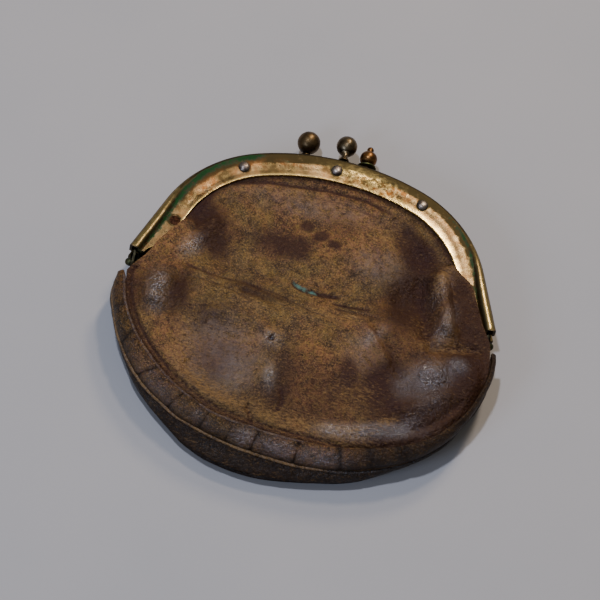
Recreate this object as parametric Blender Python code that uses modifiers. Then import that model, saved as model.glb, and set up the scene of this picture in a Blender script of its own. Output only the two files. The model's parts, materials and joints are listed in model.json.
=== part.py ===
"""Clasp-frame coin purse with two pockets, lying closed on its back panel.

Three riveted sheet-metal leaves turn on one pair of hinge pins. The back leaf and the
pouch stay put, the front leaf and the middle leaf swing up. X runs from hinge to hinge,
Y from the pouch's base towards the knobs, Z is the purse's thickness.
Lengths are millimetres times MM. Heights above the hinge line are measured from HINGE_Y.
"""

import math

import bmesh
import bpy
from mathutils import Matrix, Vector

MM = 0.001

# Driving dimensions
HINGE_Y = -0.1 * MM  # puts the origin under the middle of the bounding box
HINGE_Z = 5.4 * MM  # height of the hinge axis above the table
SHEET = 0.8 * MM  # sheet metal of the outer leaves
LEATHER = 1.0 * MM
GAP = 0.3 * MM  # air between leather and metal
FIT = 0.1 * MM  # air around rivets, pins and knob stems

# The frame's arch: a flat top arc, a tighter shoulder arc and a straight slanting leg
ARCH_TOP = 39.75 * MM  # apex above the hinge line
TOP_RADIUS = 61.6 * MM
SHOULDER_RADIUS = 32.2 * MM
TOP_ANGLE = math.radians(19.4)
LEG_ANGLE = math.radians(69)
LEG_LENGTH = 16.0 * MM
TOP_STEPS, SHOULDER_STEPS, LEG_STEPS = 4, 7, 5

# Outer leaves, as depths from the hinge plane towards the front or the back
FLANGE_TOP = 4.6 * MM
RIM_FOOT = 1.3 * MM
FLANGE_WIDTH = 6.8 * MM
FLANGE_END_WIDTH = 4.0 * MM
TAPER_LENGTH = 7.0 * MM
EDGE_RADIUS = 1.0 * MM
BEAD_RADIUS = 1.6 * MM
BEAD_LIFT = 0.5 * MM
BEAD_START = 30.0 * MM  # arc length from the apex where the rolled bead begins to swell
BEAD_FULL = 58.0 * MM
ARC_POINTS = 5

# Middle leaf: a folded channel that holds the divider
CHANNEL_HALF = 1.0 * MM
CHANNEL_SHEET = 0.4 * MM
CHANNEL_WIDTH = 5.2 * MM
CHANNEL_END_WIDTH = 2.0 * MM
CHANNEL_LEG_TRIM = 1.5 * MM

# Backing strips behind the leather: insets from the arch and depths from the hinge plane
STRIP_OUTER, STRIP_INNER = 2.4 * MM, 6.8 * MM
STRIP_NEAR, STRIP_FAR = 1.8 * MM, 2.2 * MM

# Hinges
LUG_X = {"front": 44.0 * MM, "middle": 42.8 * MM, "back": 41.6 * MM}
LUG_REACH = {"front": 4.8 * MM, "middle": 9.2 * MM, "back": 11.6 * MM}  # up into the leaf
EYE_RADIUS = 2.0 * MM
PIN_RADIUS = 0.75 * MM
PIN_HEAD_RADIUS = 1.05 * MM

# Rivets
RIVET_RADIUS = 0.6 * MM
RIVET_HEAD_RADIUS = 1.4 * MM
RIVET_HEAD_HEIGHT = 0.7 * MM
CLINCH_RADIUS = 1.0 * MM
RIVET_ARCS = (-53.0, -25.6, -1.0, 23.6, 53.0)  # mm along the arch from the apex
MIDDLE_RIVET_ARCS = (-37.0, -12.0, 12.0, 37.0)
RIVET_INSET = 3.7 * MM  # from the arch's edge
BEAD_INSET = 1.6 * MM  # added beside the full bead
CLINCH_TOP, CLINCH_FOOT = 1.7 * MM, 1.35 * MM
RIVET_STEPS = 12

# Knobs
BALL_RADIUS = {"front": 2.6 * MM, "back": 2.85 * MM}
FINIAL_STEM_RADIUS = 1.0 * MM
STEM_CLEARANCE = 0.45 * MM  # a leaning stem's foot stays off the rim

# Pouch: half ellipses about a centre below the hinge line, one pair of radii a level
POUCH_CENTRE_Y = -10.0 * MM
BACK_PANEL_RADII = (45.1 * MM, 36.6 * MM)
BACK_WELT_RADII = (45.95 * MM, 37.5 * MM)
BELLY_RADII = (46.5 * MM, 38.3 * MM)
BACK_GUSSET_TOP_RADII = (45.4 * MM, 35.0 * MM)
DIVIDER_RADII = (45.6 * MM, 35.2 * MM)
FRONT_GUSSET_FOOT_RADII = (45.0 * MM, 33.8 * MM)
FRONT_GUSSET_TOP_RADII = (44.2 * MM, 30.6 * MM)
FRONT_WELT_RADII = (43.8 * MM, 30.0 * MM)
FRONT_PANEL_RADII = (42.9 * MM, 29.1 * MM)
WELT_RADIUS = 0.55 * MM
U_STEPS = 26
MARGIN = 2.4 * MM  # leather edge inside the arch
BACK_MARGIN = 3.0 * MM
DIVIDER_MARGIN = 1.2 * MM
DIVIDER_HALF = 0.3 * MM
LEATHER_INSIDE_LUGS = 40.2 * MM
ABOVE_LUGS_Y = 8.0 * MM
UPPER_FRONT_EDGE = 3.0 * MM  # where the moving part of the front panel ends
LOWER_FRONT_EDGE = -3.6 * MM
FRONT_U_END = -4.8 * MM
BACK_U_END = -2.8 * MM
RAMP_START = -2.7 * MM  # the back panel leaves the table here and rises to the back leaf
RAMP_LENGTH = 4.4 * MM


# ---------------------------------------------------------------- scene and materials


def clear_scene():
    for obj in list(bpy.data.objects):
        bpy.data.objects.remove(obj)


def make_collection(name):
    collection = bpy.data.collections.new(name)
    bpy.context.scene.collection.children.link(collection)
    return collection


def make_material(name, colour, roughness, metallic):
    material = bpy.data.materials.new(name)
    material.use_nodes = True
    shader = material.node_tree.nodes["Principled BSDF"]
    shader.inputs["Base Color"].default_value = (*colour, 1.0)
    shader.inputs["Roughness"].default_value = roughness
    shader.inputs["Metallic"].default_value = metallic
    return material


def make_materials():
    return {
        "plate": make_material("worn_nickel_plate", (0.50, 0.40, 0.26), 0.38, 1.0),
        "channel": make_material("tarnished_brass_sheet", (0.32, 0.27, 0.15), 0.5, 1.0),
        "steel": make_material("rivet_steel", (0.36, 0.31, 0.29), 0.35, 1.0),
        "knob": make_material("tarnished_brass_knob", (0.16, 0.11, 0.06), 0.35, 1.0),
        "leather": make_material("aged_brown_leather", (0.16, 0.10, 0.055), 0.5, 0.0),
        "gusset": make_material("dark_gusset_leather", (0.08, 0.05, 0.025), 0.5, 0.0),
    }


# ---------------------------------------------------------------- mesh helpers


def add_object(name, mesh, material, collection, parent=None):
    obj = bpy.data.objects.new(name, mesh)
    if not obj.data.materials:
        obj.data.materials.append(material)
    collection.objects.link(obj)
    obj.parent = parent
    return obj


def mesh_from(bm, name, smooth_angle=35):
    bmesh.ops.recalc_face_normals(bm, faces=bm.faces)
    if bm.calc_volume(signed=True) < 0:
        bmesh.ops.reverse_faces(bm, faces=bm.faces)
    mesh = bpy.data.meshes.new(name)
    bm.to_mesh(mesh)
    bm.free()
    mesh.shade_smooth()
    mesh.set_sharp_from_angle(angle=math.radians(smooth_angle))
    return mesh


def loft(name, sections):
    """A closed solid through equal rings of points, capped at both ends."""
    bm = bmesh.new()
    rings = [[bm.verts.new(point) for point in section] for section in sections]
    for ring, following in zip(rings, rings[1:]):
        for k in range(len(ring)):
            after = (k + 1) % len(ring)
            bm.faces.new((ring[k], ring[after], following[after], following[k]))
    bm.faces.new(rings[0])
    bm.faces.new(rings[-1])
    return mesh_from(bm, name)


def flat_plate(name, outline, low, high):
    """A level plate from a filled 2D curve, as a welded mesh."""
    curve = bpy.data.curves.new(name, "CURVE")
    curve.dimensions = "2D"
    curve.fill_mode = "BOTH"
    curve.extrude = (high - low) / 2
    spline = curve.splines.new("POLY")
    spline.points.add(len(outline) - 1)
    for point, (x, y) in zip(spline.points, outline):
        point.co = (x, y, 0, 1)
    spline.use_cyclic_u = True
    holder = bpy.data.objects.new(name, curve)
    mesh = bpy.data.meshes.new_from_object(holder)
    bpy.data.objects.remove(holder)
    bm = bmesh.new()
    bm.from_mesh(mesh)
    bmesh.ops.remove_doubles(bm, verts=bm.verts, dist=0.001 * MM)
    bmesh.ops.translate(bm, verts=bm.verts, vec=(0, 0, (low + high) / 2))
    bpy.data.meshes.remove(mesh)
    return mesh_from(bm, name)


def turned(name, profile, steps, material, collection, parent=None):
    """A solid of revolution about Z. The profile is (radius, height), from top to bottom."""
    bm = bmesh.new()
    verts = [bm.verts.new((radius, 0, height)) for radius, height in profile]
    for a, b in zip(verts, verts[1:]):
        bm.edges.new((a, b))
    mesh = bpy.data.meshes.new(name)
    bm.to_mesh(mesh)
    bm.free()
    obj = add_object(name, mesh, material, collection, parent)
    screw = obj.modifiers.new("turn", "SCREW")
    screw.steps = screw.render_steps = steps
    screw.use_merge_vertices = True
    screw.merge_threshold = 0.01 * MM
    screw.use_smooth_shade = True
    return obj


def place(obj, at, axis):
    """Puts a turned piece's origin at a point and its Z along an axis, in world space."""
    turn = Vector(axis).to_track_quat("Z", "Y").to_matrix().to_4x4()
    world = Matrix.Translation(Vector(at)) @ turn
    parent = obj.parent
    bring = parent.matrix_world.inverted() if parent else Matrix.Identity(4)
    obj.matrix_local = bring @ world


def cylinder_cutter(name, places, radius, length, axis, cutters):
    """Cylinders at several places as one cutter."""
    bm = bmesh.new()
    turn = Vector(axis).to_track_quat("Z", "Y").to_matrix().to_4x4()
    for at in places:
        bmesh.ops.create_cone(
            bm,
            cap_ends=True,
            segments=RIVET_STEPS,
            radius1=radius,
            radius2=radius,
            depth=length,
            matrix=Matrix.Translation(Vector(at)) @ turn,
        )
    mesh = bpy.data.meshes.new(name)
    bm.to_mesh(mesh)
    bm.free()
    cutter = bpy.data.objects.new(name, mesh)
    cutter.hide_render = True
    cutter.display_type = "WIRE"
    cutters.objects.link(cutter)
    return cutter


def combine(obj, other, operation):
    modifier = obj.modifiers.new(operation.lower(), "BOOLEAN")
    modifier.operation = operation
    modifier.object = other
    modifier.solver = "EXACT"


# ---------------------------------------------------------------- the arch


def half_arch():
    """Stations from the apex to the right leg's end: (arc length, point, normal)."""
    stations = []
    centre = Vector((0, ARCH_TOP - TOP_RADIUS))
    for k in range(TOP_STEPS):
        angle = TOP_ANGLE * k / TOP_STEPS
        normal = Vector((math.sin(angle), math.cos(angle)))
        stations.append((TOP_RADIUS * angle, centre + normal * TOP_RADIUS, normal))
    top_end = Vector((math.sin(TOP_ANGLE), math.cos(TOP_ANGLE)))
    centre = centre + top_end * (TOP_RADIUS - SHOULDER_RADIUS)
    turn = LEG_ANGLE - TOP_ANGLE
    for k in range(SHOULDER_STEPS):
        angle = TOP_ANGLE + turn * k / SHOULDER_STEPS
        normal = Vector((math.sin(angle), math.cos(angle)))
        along = TOP_RADIUS * TOP_ANGLE + SHOULDER_RADIUS * (angle - TOP_ANGLE)
        stations.append((along, centre + normal * SHOULDER_RADIUS, normal))
    normal = Vector((math.sin(LEG_ANGLE), math.cos(LEG_ANGLE)))
    down = Vector((normal.y, -normal.x))
    start = centre + normal * SHOULDER_RADIUS
    shoulder_end = TOP_RADIUS * TOP_ANGLE + SHOULDER_RADIUS * turn
    for k in range(LEG_STEPS + 1):
        far = LEG_LENGTH * k / LEG_STEPS
        stations.append((shoulder_end + far, start + down * far, normal))
    return stations


def whole_arch():
    """Stations from the left leg's end over the apex to the right leg's end."""
    right = half_arch()
    left = [(-s, Vector((-p.x, p.y)), Vector((-n.x, n.y))) for s, p, n in right[1:]]
    return left[::-1] + right


def arch_length():
    return half_arch()[-1][0]


def arch_at(along):
    """Point and normal of the arch's outer edge at an arc length from the apex."""
    stations = whole_arch()
    for (s0, p0, n0), (s1, p1, n1) in zip(stations, stations[1:]):
        if s0 <= along <= s1:
            share = (along - s0) / (s1 - s0)
            return p0.lerp(p1, share), n0.lerp(n1, share).normalized()
    return stations[-1][1:]


def above_hinge(point, height):
    """A point of the arch plane, given from the hinge line, in world space."""
    return Vector((point.x, point.y + HINGE_Y, height))


def smooth(share):
    share = max(0.0, min(1.0, share))
    return share * share * (3 - 2 * share)


def tapered(width, end_width, along, length):
    """A flange's width, narrowing over the last stretch of each leg."""
    left = length - abs(along)
    return end_width + (width - end_width) * smooth(left / TAPER_LENGTH)


# ---------------------------------------------------------------- leaves


def outer_leaf_profile(along):
    """Section of an outer leaf: (outwards from the arch's edge, depth from the hinge plane)."""
    swell = smooth((abs(along) - BEAD_START) / (BEAD_FULL - BEAD_START))
    radius = EDGE_RADIUS + (BEAD_RADIUS - EDGE_RADIUS) * swell
    centre = FLANGE_TOP + BEAD_LIFT * swell - radius
    sweep = math.radians(90 + 60 * swell)
    width = tapered(FLANGE_WIDTH, FLANGE_END_WIDTH, along, arch_length())
    foot = radius * (1 - math.cos(sweep)) + 0.4 * MM
    angles = [sweep * (1 - k / (ARC_POINTS - 1)) for k in range(ARC_POINTS)]
    outside = [(-width, FLANGE_TOP), (-foot, FLANGE_TOP)]
    outside += [
        (radius * (math.cos(a) - 1), centre + radius * math.sin(a)) for a in angles
    ]
    outside.append((0, RIM_FOOT))
    inner = radius - SHEET
    inside = [(-SHEET, RIM_FOOT)]
    inside += [
        (-radius + inner * math.cos(a), centre + inner * math.sin(a))
        for a in reversed(angles)
    ]
    inside += [(-foot, FLANGE_TOP - SHEET), (-width, FLANGE_TOP - SHEET)]
    return outside + inside


def channel_profile(along, length):
    """Section of the middle leaf, a channel open towards the pouch."""
    width = tapered(CHANNEL_WIDTH, CHANNEL_END_WIDTH, along, length)
    half, inner = CHANNEL_HALF, CHANNEL_HALF - CHANNEL_SHEET
    return [
        (0, -half),
        (0, half),
        (-width, half),
        (-width, inner),
        (-CHANNEL_SHEET, inner),
        (-CHANNEL_SHEET, -inner),
        (-width, -inner),
        (-width, -half),
    ]


def leaf_sections(profile_of, side, trim=0.0):
    """World-space rings along the arch. side is +1 towards the front, -1 to the back."""
    sections = []
    for along, point, normal in whole_arch():
        if abs(along) > arch_length() - trim:
            limit = math.copysign(arch_length() - trim, along)
            point, normal = arch_at(limit)
            along = limit
        ring = [
            above_hinge(point + normal * out, HINGE_Z + side * depth)
            for out, depth in profile_of(along)
        ]
        sections.append(ring)
    return sections


def lug_outline(leaf):
    """Outline of a hinge lug in the plane across the hinge axis: (y, depth)."""
    reach = LUG_REACH[leaf]
    steps = 18
    if leaf == "middle":
        arm = [(reach, 0.9 * MM), (reach, -0.9 * MM)]
        low, high = math.radians(-35), math.radians(35)
    else:
        arm = [(reach, 3.4 * MM), (reach, 1.55 * MM), (2.2 * MM, 1.55 * MM)]
        low, high = math.radians(25), math.radians(110)
    turn = 2 * math.pi - (high - low)
    angles = [high + turn * k / steps for k in range(steps + 1)]
    eye = [(EYE_RADIUS * math.cos(a), EYE_RADIUS * math.sin(a)) for a in angles]
    return arm + eye[::-1]


def make_lug(leaf, hand, side, cutters):
    """One hinge lug as a helper that is joined to its leaf."""
    x = hand * LUG_X[leaf]
    rings = []
    for face in (x - SHEET / 2, x + SHEET / 2):
        rings.append(
            [
                Vector((face, HINGE_Y + y, HINGE_Z + side * depth))
                for y, depth in lug_outline(leaf)
            ]
        )
    helper = bpy.data.objects.new(f"{leaf}_lug_{hand}", loft("lug", rings))
    helper.hide_render = True
    helper.display_type = "WIRE"
    cutters.objects.link(helper)
    return helper


def make_leaf(leaf, sections, side, rivet_places, material, collection, cutters, parent):
    obj = add_object(f"{leaf}_leaf", loft(f"{leaf}_leaf", sections), material, collection)
    for hand in (-1, 1):
        combine(obj, make_lug(leaf, hand, side, cutters), "UNION")
    eyes = [(hand * LUG_X[leaf], HINGE_Y, HINGE_Z) for hand in (-1, 1)]
    bores = cylinder_cutter(
        f"{leaf}_eyes", eyes, PIN_RADIUS + FIT, 4 * SHEET, (1, 0, 0), cutters
    )
    combine(obj, bores, "DIFFERENCE")
    holes = cylinder_cutter(
        f"{leaf}_holes", rivet_places, RIVET_RADIUS + FIT, 12 * MM, (0, 0, 1), cutters
    )
    combine(obj, holes, "DIFFERENCE")
    obj.parent = parent
    obj.matrix_parent_inverse = parent.matrix_world.inverted() if parent else Matrix()
    return obj


def make_backing_strip(leaf, side, rivet_places, material, collection, cutters, parent):
    """Thin strip behind the leather's edge, which the rivets are clinched over."""
    sections = []
    for along, point, normal in whole_arch():
        if abs(along) > arch_length() - TAPER_LENGTH:
            continue
        corners = (
            (-STRIP_OUTER, STRIP_NEAR),
            (-STRIP_OUTER, STRIP_FAR),
            (-STRIP_INNER, STRIP_FAR),
            (-STRIP_INNER, STRIP_NEAR),
        )
        sections.append(
            [above_hinge(point + normal * n, HINGE_Z + side * d) for n, d in corners]
        )
    name = f"{leaf}_backing_strip"
    obj = add_object(name, loft(name, sections), material, collection)
    holes = cylinder_cutter(
        f"{name}_holes", rivet_places, RIVET_RADIUS + FIT, 4 * MM, (0, 0, 1), cutters
    )
    holes.location.z = side * STRIP_FAR
    combine(obj, holes, "DIFFERENCE")
    obj.parent = parent
    obj.matrix_parent_inverse = parent.matrix_world.inverted() if parent else Matrix()
    return obj


# ---------------------------------------------------------------- rivets, pins, knobs


def rivet_depth(along):
    """How far inside the arch's edge a rivet sits: further in beside the bead."""
    swell = smooth((abs(along) - BEAD_START) / (BEAD_FULL - BEAD_START))
    return RIVET_INSET + BEAD_INSET * swell


def rivet_places(arcs):
    places = []
    for arc in arcs:
        point, normal = arch_at(arc * MM)
        places.append(above_hinge(point - normal * rivet_depth(arc * MM), HINGE_Z))
    return places


def dome(radius, height, base, points=4):
    """Profile of a domed head, from its top on the axis to its rim at the base."""
    angles = [math.pi / 2 * k / (points - 1) for k in range(points)]
    return [(radius * math.sin(a), base + height * math.cos(a)) for a in angles]


def make_outer_rivet(name, at, side, headless, material, collection, parent):
    """Rivet through flange, leather and strip. A headless one has lost its dome."""
    head_seat = FLANGE_TOP + FIT / 2
    shank_top = FLANGE_TOP - 0.1 * MM
    if headless:
        profile = [(0, shank_top), (RIVET_RADIUS, shank_top)]
    else:
        profile = dome(RIVET_HEAD_RADIUS, RIVET_HEAD_HEIGHT, head_seat)
        profile.append((RIVET_RADIUS, head_seat))
    profile += [
        (RIVET_RADIUS, CLINCH_TOP),
        (CLINCH_RADIUS, CLINCH_TOP),
        (CLINCH_RADIUS * 0.8, CLINCH_FOOT),
        (0, CLINCH_FOOT),
    ]
    obj = turned(name, profile, RIVET_STEPS, material, collection, parent)
    place(obj, (at.x, at.y, HINGE_Z), (0, 0, side))
    return obj


def make_middle_rivet(name, at, material, collection, parent):
    """Flat rivet through both flanges of the channel and the divider."""
    seat = CHANNEL_HALF + 0.03 * MM
    head = seat + 0.25 * MM
    flat = 0.85 * MM
    profile = [
        (0, head),
        (flat * 0.8, head),
        (flat, seat),
        (RIVET_RADIUS, seat),
        (RIVET_RADIUS, -seat),
        (flat, -seat),
        (flat * 0.8, -head),
        (0, -head),
    ]
    obj = turned(name, profile, RIVET_STEPS, material, collection, parent)
    place(obj, (at.x, at.y, HINGE_Z), (0, 0, 1))
    return obj


def make_hinge_pin(name, hand, material, collection):
    """Pin through the three lugs, with a domed outer head and a flat inner one."""
    outer_seat = LUG_X["front"] + SHEET / 2 + 0.15 * MM
    inner_seat = LUG_X["back"] - SHEET / 2 - 0.15 * MM
    profile = dome(PIN_HEAD_RADIUS, 1.3 * MM, outer_seat, 5) + [
        (PIN_RADIUS, outer_seat),
        (PIN_RADIUS, inner_seat),
        (1.2 * MM, inner_seat),
        (1.0 * MM, inner_seat - 0.5 * MM),
        (0, inner_seat - 0.5 * MM),
    ]
    obj = turned(name, profile, RIVET_STEPS, material, collection)
    place(obj, (0, HINGE_Y, HINGE_Z), (hand, 0, 0))
    return obj


def make_ball_knob(leaf, ball_centre, foot, material, collection, parent):
    """A ball on a waisted stem that leans from its leaf's rim over the hinge plane."""
    ball_radius = BALL_RADIUS[leaf]
    ball_centre, foot = Vector(ball_centre), Vector(foot)
    axis = (ball_centre - foot).normalized()
    reach = (ball_centre - foot).length - ball_radius - FIT
    stem_profile = [
        (0, reach),
        (0.95 * MM, reach),
        (0.75 * MM, reach * 0.6),
        (0.8 * MM, 0.6 * MM),
        (1.3 * MM, 0.45 * MM),
        (1.3 * MM, 0),
        (0, 0),
    ]
    stem = turned(f"{leaf}_ball_stem", stem_profile, 16, material, collection, parent)
    place(stem, foot, axis)
    angles = [math.pi * k / 10 for k in range(11)]
    ball_profile = [(ball_radius * math.sin(a), ball_radius * math.cos(a)) for a in angles]
    ball_profile[0] = (0, ball_radius)
    ball_profile[-1] = (0, -ball_radius)
    ball = turned(f"{leaf}_ball", ball_profile, 20, material, collection, parent)
    place(ball, ball_centre, axis)


def make_finial(foot, material, collection, parent):
    """The middle leaf's knob: a stem with a bulb and a nub on top, through a round collar."""
    foot = Vector(foot)
    profile = [
        (0, 8.2 * MM),
        (0.6 * MM, 8.0 * MM),
        (0.85 * MM, 7.4 * MM),
        (0.7 * MM, 6.7 * MM),
        (1.3 * MM, 6.4 * MM),
        (2.0 * MM, 5.5 * MM),
        (2.15 * MM, 4.6 * MM),
        (1.9 * MM, 3.7 * MM),
        (1.2 * MM, 3.1 * MM),
        (FINIAL_STEM_RADIUS, 2.9 * MM),
        (FINIAL_STEM_RADIUS, 0),
        (0, 0),
    ]
    finial = turned("middle_finial", profile, 20, material, collection, parent)
    place(finial, foot, (0, 1, 0))
    hole = FINIAL_STEM_RADIUS + FIT
    ring = [
        (hole, 2.7 * MM),
        (1.7 * MM, 2.7 * MM),
        (2.4 * MM, 2.2 * MM),
        (2.4 * MM, 1.9 * MM),
        (hole, 1.9 * MM),
        (hole, 2.7 * MM),
    ]
    collar = turned("middle_finial_collar", ring, 20, material, collection, parent)
    place(collar, foot, (0, 1, 0))


# ---------------------------------------------------------------- leather


def half_ellipse(radii, end_y):
    """Points from the left end round the pouch's base to the right end."""
    a, b = radii
    rise = math.asin((end_y - POUCH_CENTRE_Y) / b)
    angles = [math.pi - rise + (math.pi + 2 * rise) * k / U_STEPS for k in range(U_STEPS + 1)]
    return [
        Vector((a * math.cos(t), POUCH_CENTRE_Y + b * math.sin(t))) for t in angles
    ]


def arch_edge(inset, end_y, foot_y=None):
    """The arch's inset outline from the right leg over the top to the left leg.

    With foot_y, it goes on straight down to there, inside the hinge lugs.
    """
    points = [p - n * inset for _, p, n in whole_arch()][::-1]
    above = [p for p in points if p.y > end_y]
    outline = [Vector((above[0].x, end_y)), *above, Vector((above[-1].x, end_y))]
    if foot_y is not None:
        x = min(LEATHER_INSIDE_LUGS, above[0].x)
        right = [Vector((x, foot_y)), Vector((x, end_y))]
        left = [Vector((-x, end_y)), Vector((-x, foot_y))]
        outline = right + outline[1:-1] + left
    return outline


def to_world(outline):
    return [(p.x, p.y + HINGE_Y) for p in outline]


def smooth_ramp(y):
    """Share of the way from the table up to the back leaf, by height above the hinge line."""
    return smooth((y - RAMP_START) / RAMP_LENGTH)


def ringed_plate(name, outline, centre, shares, under, over):
    """A dished plate: rings shrink towards a centre, with a height function for each face."""
    centre = Vector(centre)

    def ring(share, height):
        points = [centre + (p - centre) * share for p in outline]
        return [above_hinge(p, height(p)) for p in points]

    sections = [ring(share, under) for share in shares]
    sections += [ring(share, over) for share in reversed(shares)]
    return loft(name, sections)


def make_back_panel(material, collection, cutters):
    """The panel that lies on the table and is riveted inside the back leaf."""
    seat = HINGE_Z - FLANGE_TOP + SHEET + GAP

    def under(point):
        return seat * smooth_ramp(point.y)

    def over(point):
        return under(point) + LEATHER

    lower = half_ellipse(BACK_PANEL_RADII, RAMP_START)
    upper = arch_edge(BACK_MARGIN, ABOVE_LUGS_Y, 1.8 * MM)
    shares = (0.02, 0.25, 0.5, 0.7, 0.85, 0.95, 1.0)
    mesh = ringed_plate("back_panel", lower + upper, (0, -4 * MM), shares, under, over)
    obj = add_object("back_panel", mesh, material, collection)
    holes = cylinder_cutter(
        "back_panel_holes",
        rivet_places(RIVET_ARCS),
        RIVET_RADIUS + FIT,
        12 * MM,
        (0, 0, 1),
        cutters,
    )
    combine(obj, holes, "DIFFERENCE")


def make_front_panel_lower(material, collection):
    """The puffed lower part of the front panel, sewn to the front gusset."""
    edge, crown = 10.3 * MM, 3.4 * MM
    a, b = FRONT_PANEL_RADII

    def under(point):
        rho2 = (point.x / a) ** 2 + ((point.y - POUCH_CENTRE_Y) / b) ** 2
        return edge + crown * max(0.0, 1 - rho2) ** 0.6

    def over(point):
        return under(point) + LEATHER

    outline = half_ellipse(FRONT_PANEL_RADII, LOWER_FRONT_EDGE)
    top_edge = outline[-1].x
    outline += [
        Vector((top_edge * (1 - k / 6), LOWER_FRONT_EDGE)) for k in range(1, 12)
    ]
    shares = (0.02, 0.35, 0.65, 0.85, 0.95, 1.0)
    mesh = ringed_plate(
        "front_panel_lower", outline, (0, -19 * MM), shares, under, over
    )
    add_object("front_panel_lower", mesh, material, collection)


def make_flat_leather(name, outline, low, high, holes_at, material, collection, cutters, parent):
    mesh = flat_plate(name, to_world(outline), low, high)
    obj = add_object(name, mesh, material, collection)
    if holes_at:
        holes = cylinder_cutter(
            f"{name}_holes", holes_at, RIVET_RADIUS + FIT, 12 * MM, (0, 0, 1), cutters
        )
        combine(obj, holes, "DIFFERENCE")
    obj.parent = parent
    obj.matrix_parent_inverse = parent.matrix_world.inverted() if parent else Matrix()


def make_gusset(name, levels, end_y, material, collection):
    """A U-shaped leather wall through levels of (radii, height above the table)."""
    outer = [(half_ellipse(radii, end_y), height) for radii, height in levels]
    inner = [
        (half_ellipse((radii[0] - LEATHER, radii[1] - LEATHER), end_y), height)
        for radii, height in reversed(levels)
    ]
    sections = []
    for k in range(U_STEPS + 1):
        sections.append(
            [above_hinge(points[k], height) for points, height in outer + inner]
        )
    add_object(name, loft(name, sections), material, collection)


def make_welt(name, radii, height, end_y, material, collection):
    """Piping along a seam."""
    curve = bpy.data.curves.new(name, "CURVE")
    curve.dimensions = "3D"
    curve.bevel_depth = WELT_RADIUS
    curve.bevel_resolution = 1
    curve.use_fill_caps = True
    points = half_ellipse(radii, end_y)
    spline = curve.splines.new("POLY")
    spline.points.add(len(points) - 1)
    for target, point in zip(spline.points, points):
        target.co = (*above_hinge(point, height), 1)
    add_object(name, curve, material, collection)


# ---------------------------------------------------------------- assembly


def make_pivot(name, collection):
    """Empty on the hinge axis that carries a moving leaf and all that is fixed to it."""
    pivot = bpy.data.objects.new(name, None)
    pivot.location = (0, HINGE_Y, HINGE_Z)
    collection.objects.link(pivot)
    return pivot


def make_metalwork(materials, collection, cutters, pivots):
    places = rivet_places(RIVET_ARCS)
    for leaf, side in (("front", 1), ("back", -1)):
        parent = pivots.get(leaf)
        sections = leaf_sections(outer_leaf_profile, side)
        make_leaf(leaf, sections, side, places, materials["plate"], collection, cutters, parent)
        make_backing_strip(
            leaf, side, places, materials["channel"], collection, cutters, parent
        )
        for number, at in enumerate(places, 1):
            headless = leaf == "front" and number == 1
            name = f"{leaf}_rivet_{number}"
            make_outer_rivet(name, at, side, headless, materials["steel"], collection, parent)
    trimmed = arch_length() - CHANNEL_LEG_TRIM
    sections = leaf_sections(lambda s: channel_profile(s, trimmed), 1, CHANNEL_LEG_TRIM)
    places = rivet_places(MIDDLE_RIVET_ARCS)
    middle = pivots["middle"]
    make_leaf("middle", sections, 1, places, materials["channel"], collection, cutters, middle)
    for number, at in enumerate(places, 1):
        name = f"middle_rivet_{number}"
        make_middle_rivet(name, at, materials["steel"], collection, middle)
    for name, hand in (("hinge_pin_left", -1), ("hinge_pin_right", 1)):
        make_hinge_pin(name, hand, materials["steel"], collection)


def make_knobs(materials, collection, pivots):
    knob = materials["knob"]
    top = ARCH_TOP + HINGE_Y
    front_foot = (0.2 * MM, top + STEM_CLEARANCE, HINGE_Z + 2.5 * MM)
    front_ball = (0.2 * MM, 45.9 * MM + HINGE_Y, HINGE_Z + 0.8 * MM)
    make_ball_knob("front", front_ball, front_foot, knob, collection, pivots["front"])
    back_foot = (-9.2 * MM, top - 0.69 * MM + STEM_CLEARANCE, HINGE_Z - 2.5 * MM)
    back_ball = (-9.2 * MM, 45.3 * MM + HINGE_Y, HINGE_Z - 0.6 * MM)
    make_ball_knob("back", back_ball, back_foot, knob, collection, None)
    finial_foot = (6.1 * MM, top - 0.3 * MM + FIT, HINGE_Z)
    make_finial(finial_foot, knob, collection, pivots["middle"])


def make_pouch(materials, collection, cutters, pivots):
    leather, gusset = materials["leather"], materials["gusset"]
    make_back_panel(leather, collection, cutters)
    make_front_panel_lower(leather, collection)
    front_low = HINGE_Z + FLANGE_TOP - SHEET - GAP - LEATHER
    make_flat_leather(
        "front_panel_upper",
        arch_edge(MARGIN, UPPER_FRONT_EDGE),
        front_low,
        front_low + LEATHER,
        rivet_places(RIVET_ARCS),
        leather,
        collection,
        cutters,
        pivots["front"],
    )
    make_flat_leather(
        "divider_upper",
        arch_edge(DIVIDER_MARGIN, ABOVE_LUGS_Y, 1.6 * MM),
        HINGE_Z - DIVIDER_HALF,
        HINGE_Z + DIVIDER_HALF,
        rivet_places(MIDDLE_RIVET_ARCS),
        gusset,
        collection,
        cutters,
        pivots["middle"],
    )
    make_flat_leather(
        "divider_lower",
        half_ellipse(DIVIDER_RADII, BACK_U_END),
        5.9 * MM,
        6.6 * MM,
        None,
        gusset,
        collection,
        cutters,
        None,
    )
    back_levels = [
        (BACK_PANEL_RADII, 1.4 * MM),
        (BELLY_RADII, 3.2 * MM),
        (BACK_GUSSET_TOP_RADII, 5.6 * MM),
    ]
    make_gusset("back_gusset", back_levels, BACK_U_END, gusset, collection)
    front_levels = [
        (FRONT_GUSSET_FOOT_RADII, 6.9 * MM),
        (FRONT_GUSSET_TOP_RADII, 10.2 * MM),
    ]
    make_gusset("front_gusset", front_levels, FRONT_U_END, gusset, collection)
    make_welt("back_welt", BACK_WELT_RADII, 0.65 * MM, BACK_U_END, leather, collection)
    make_welt("front_welt", FRONT_WELT_RADII, 11.1 * MM, FRONT_U_END, leather, collection)


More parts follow.
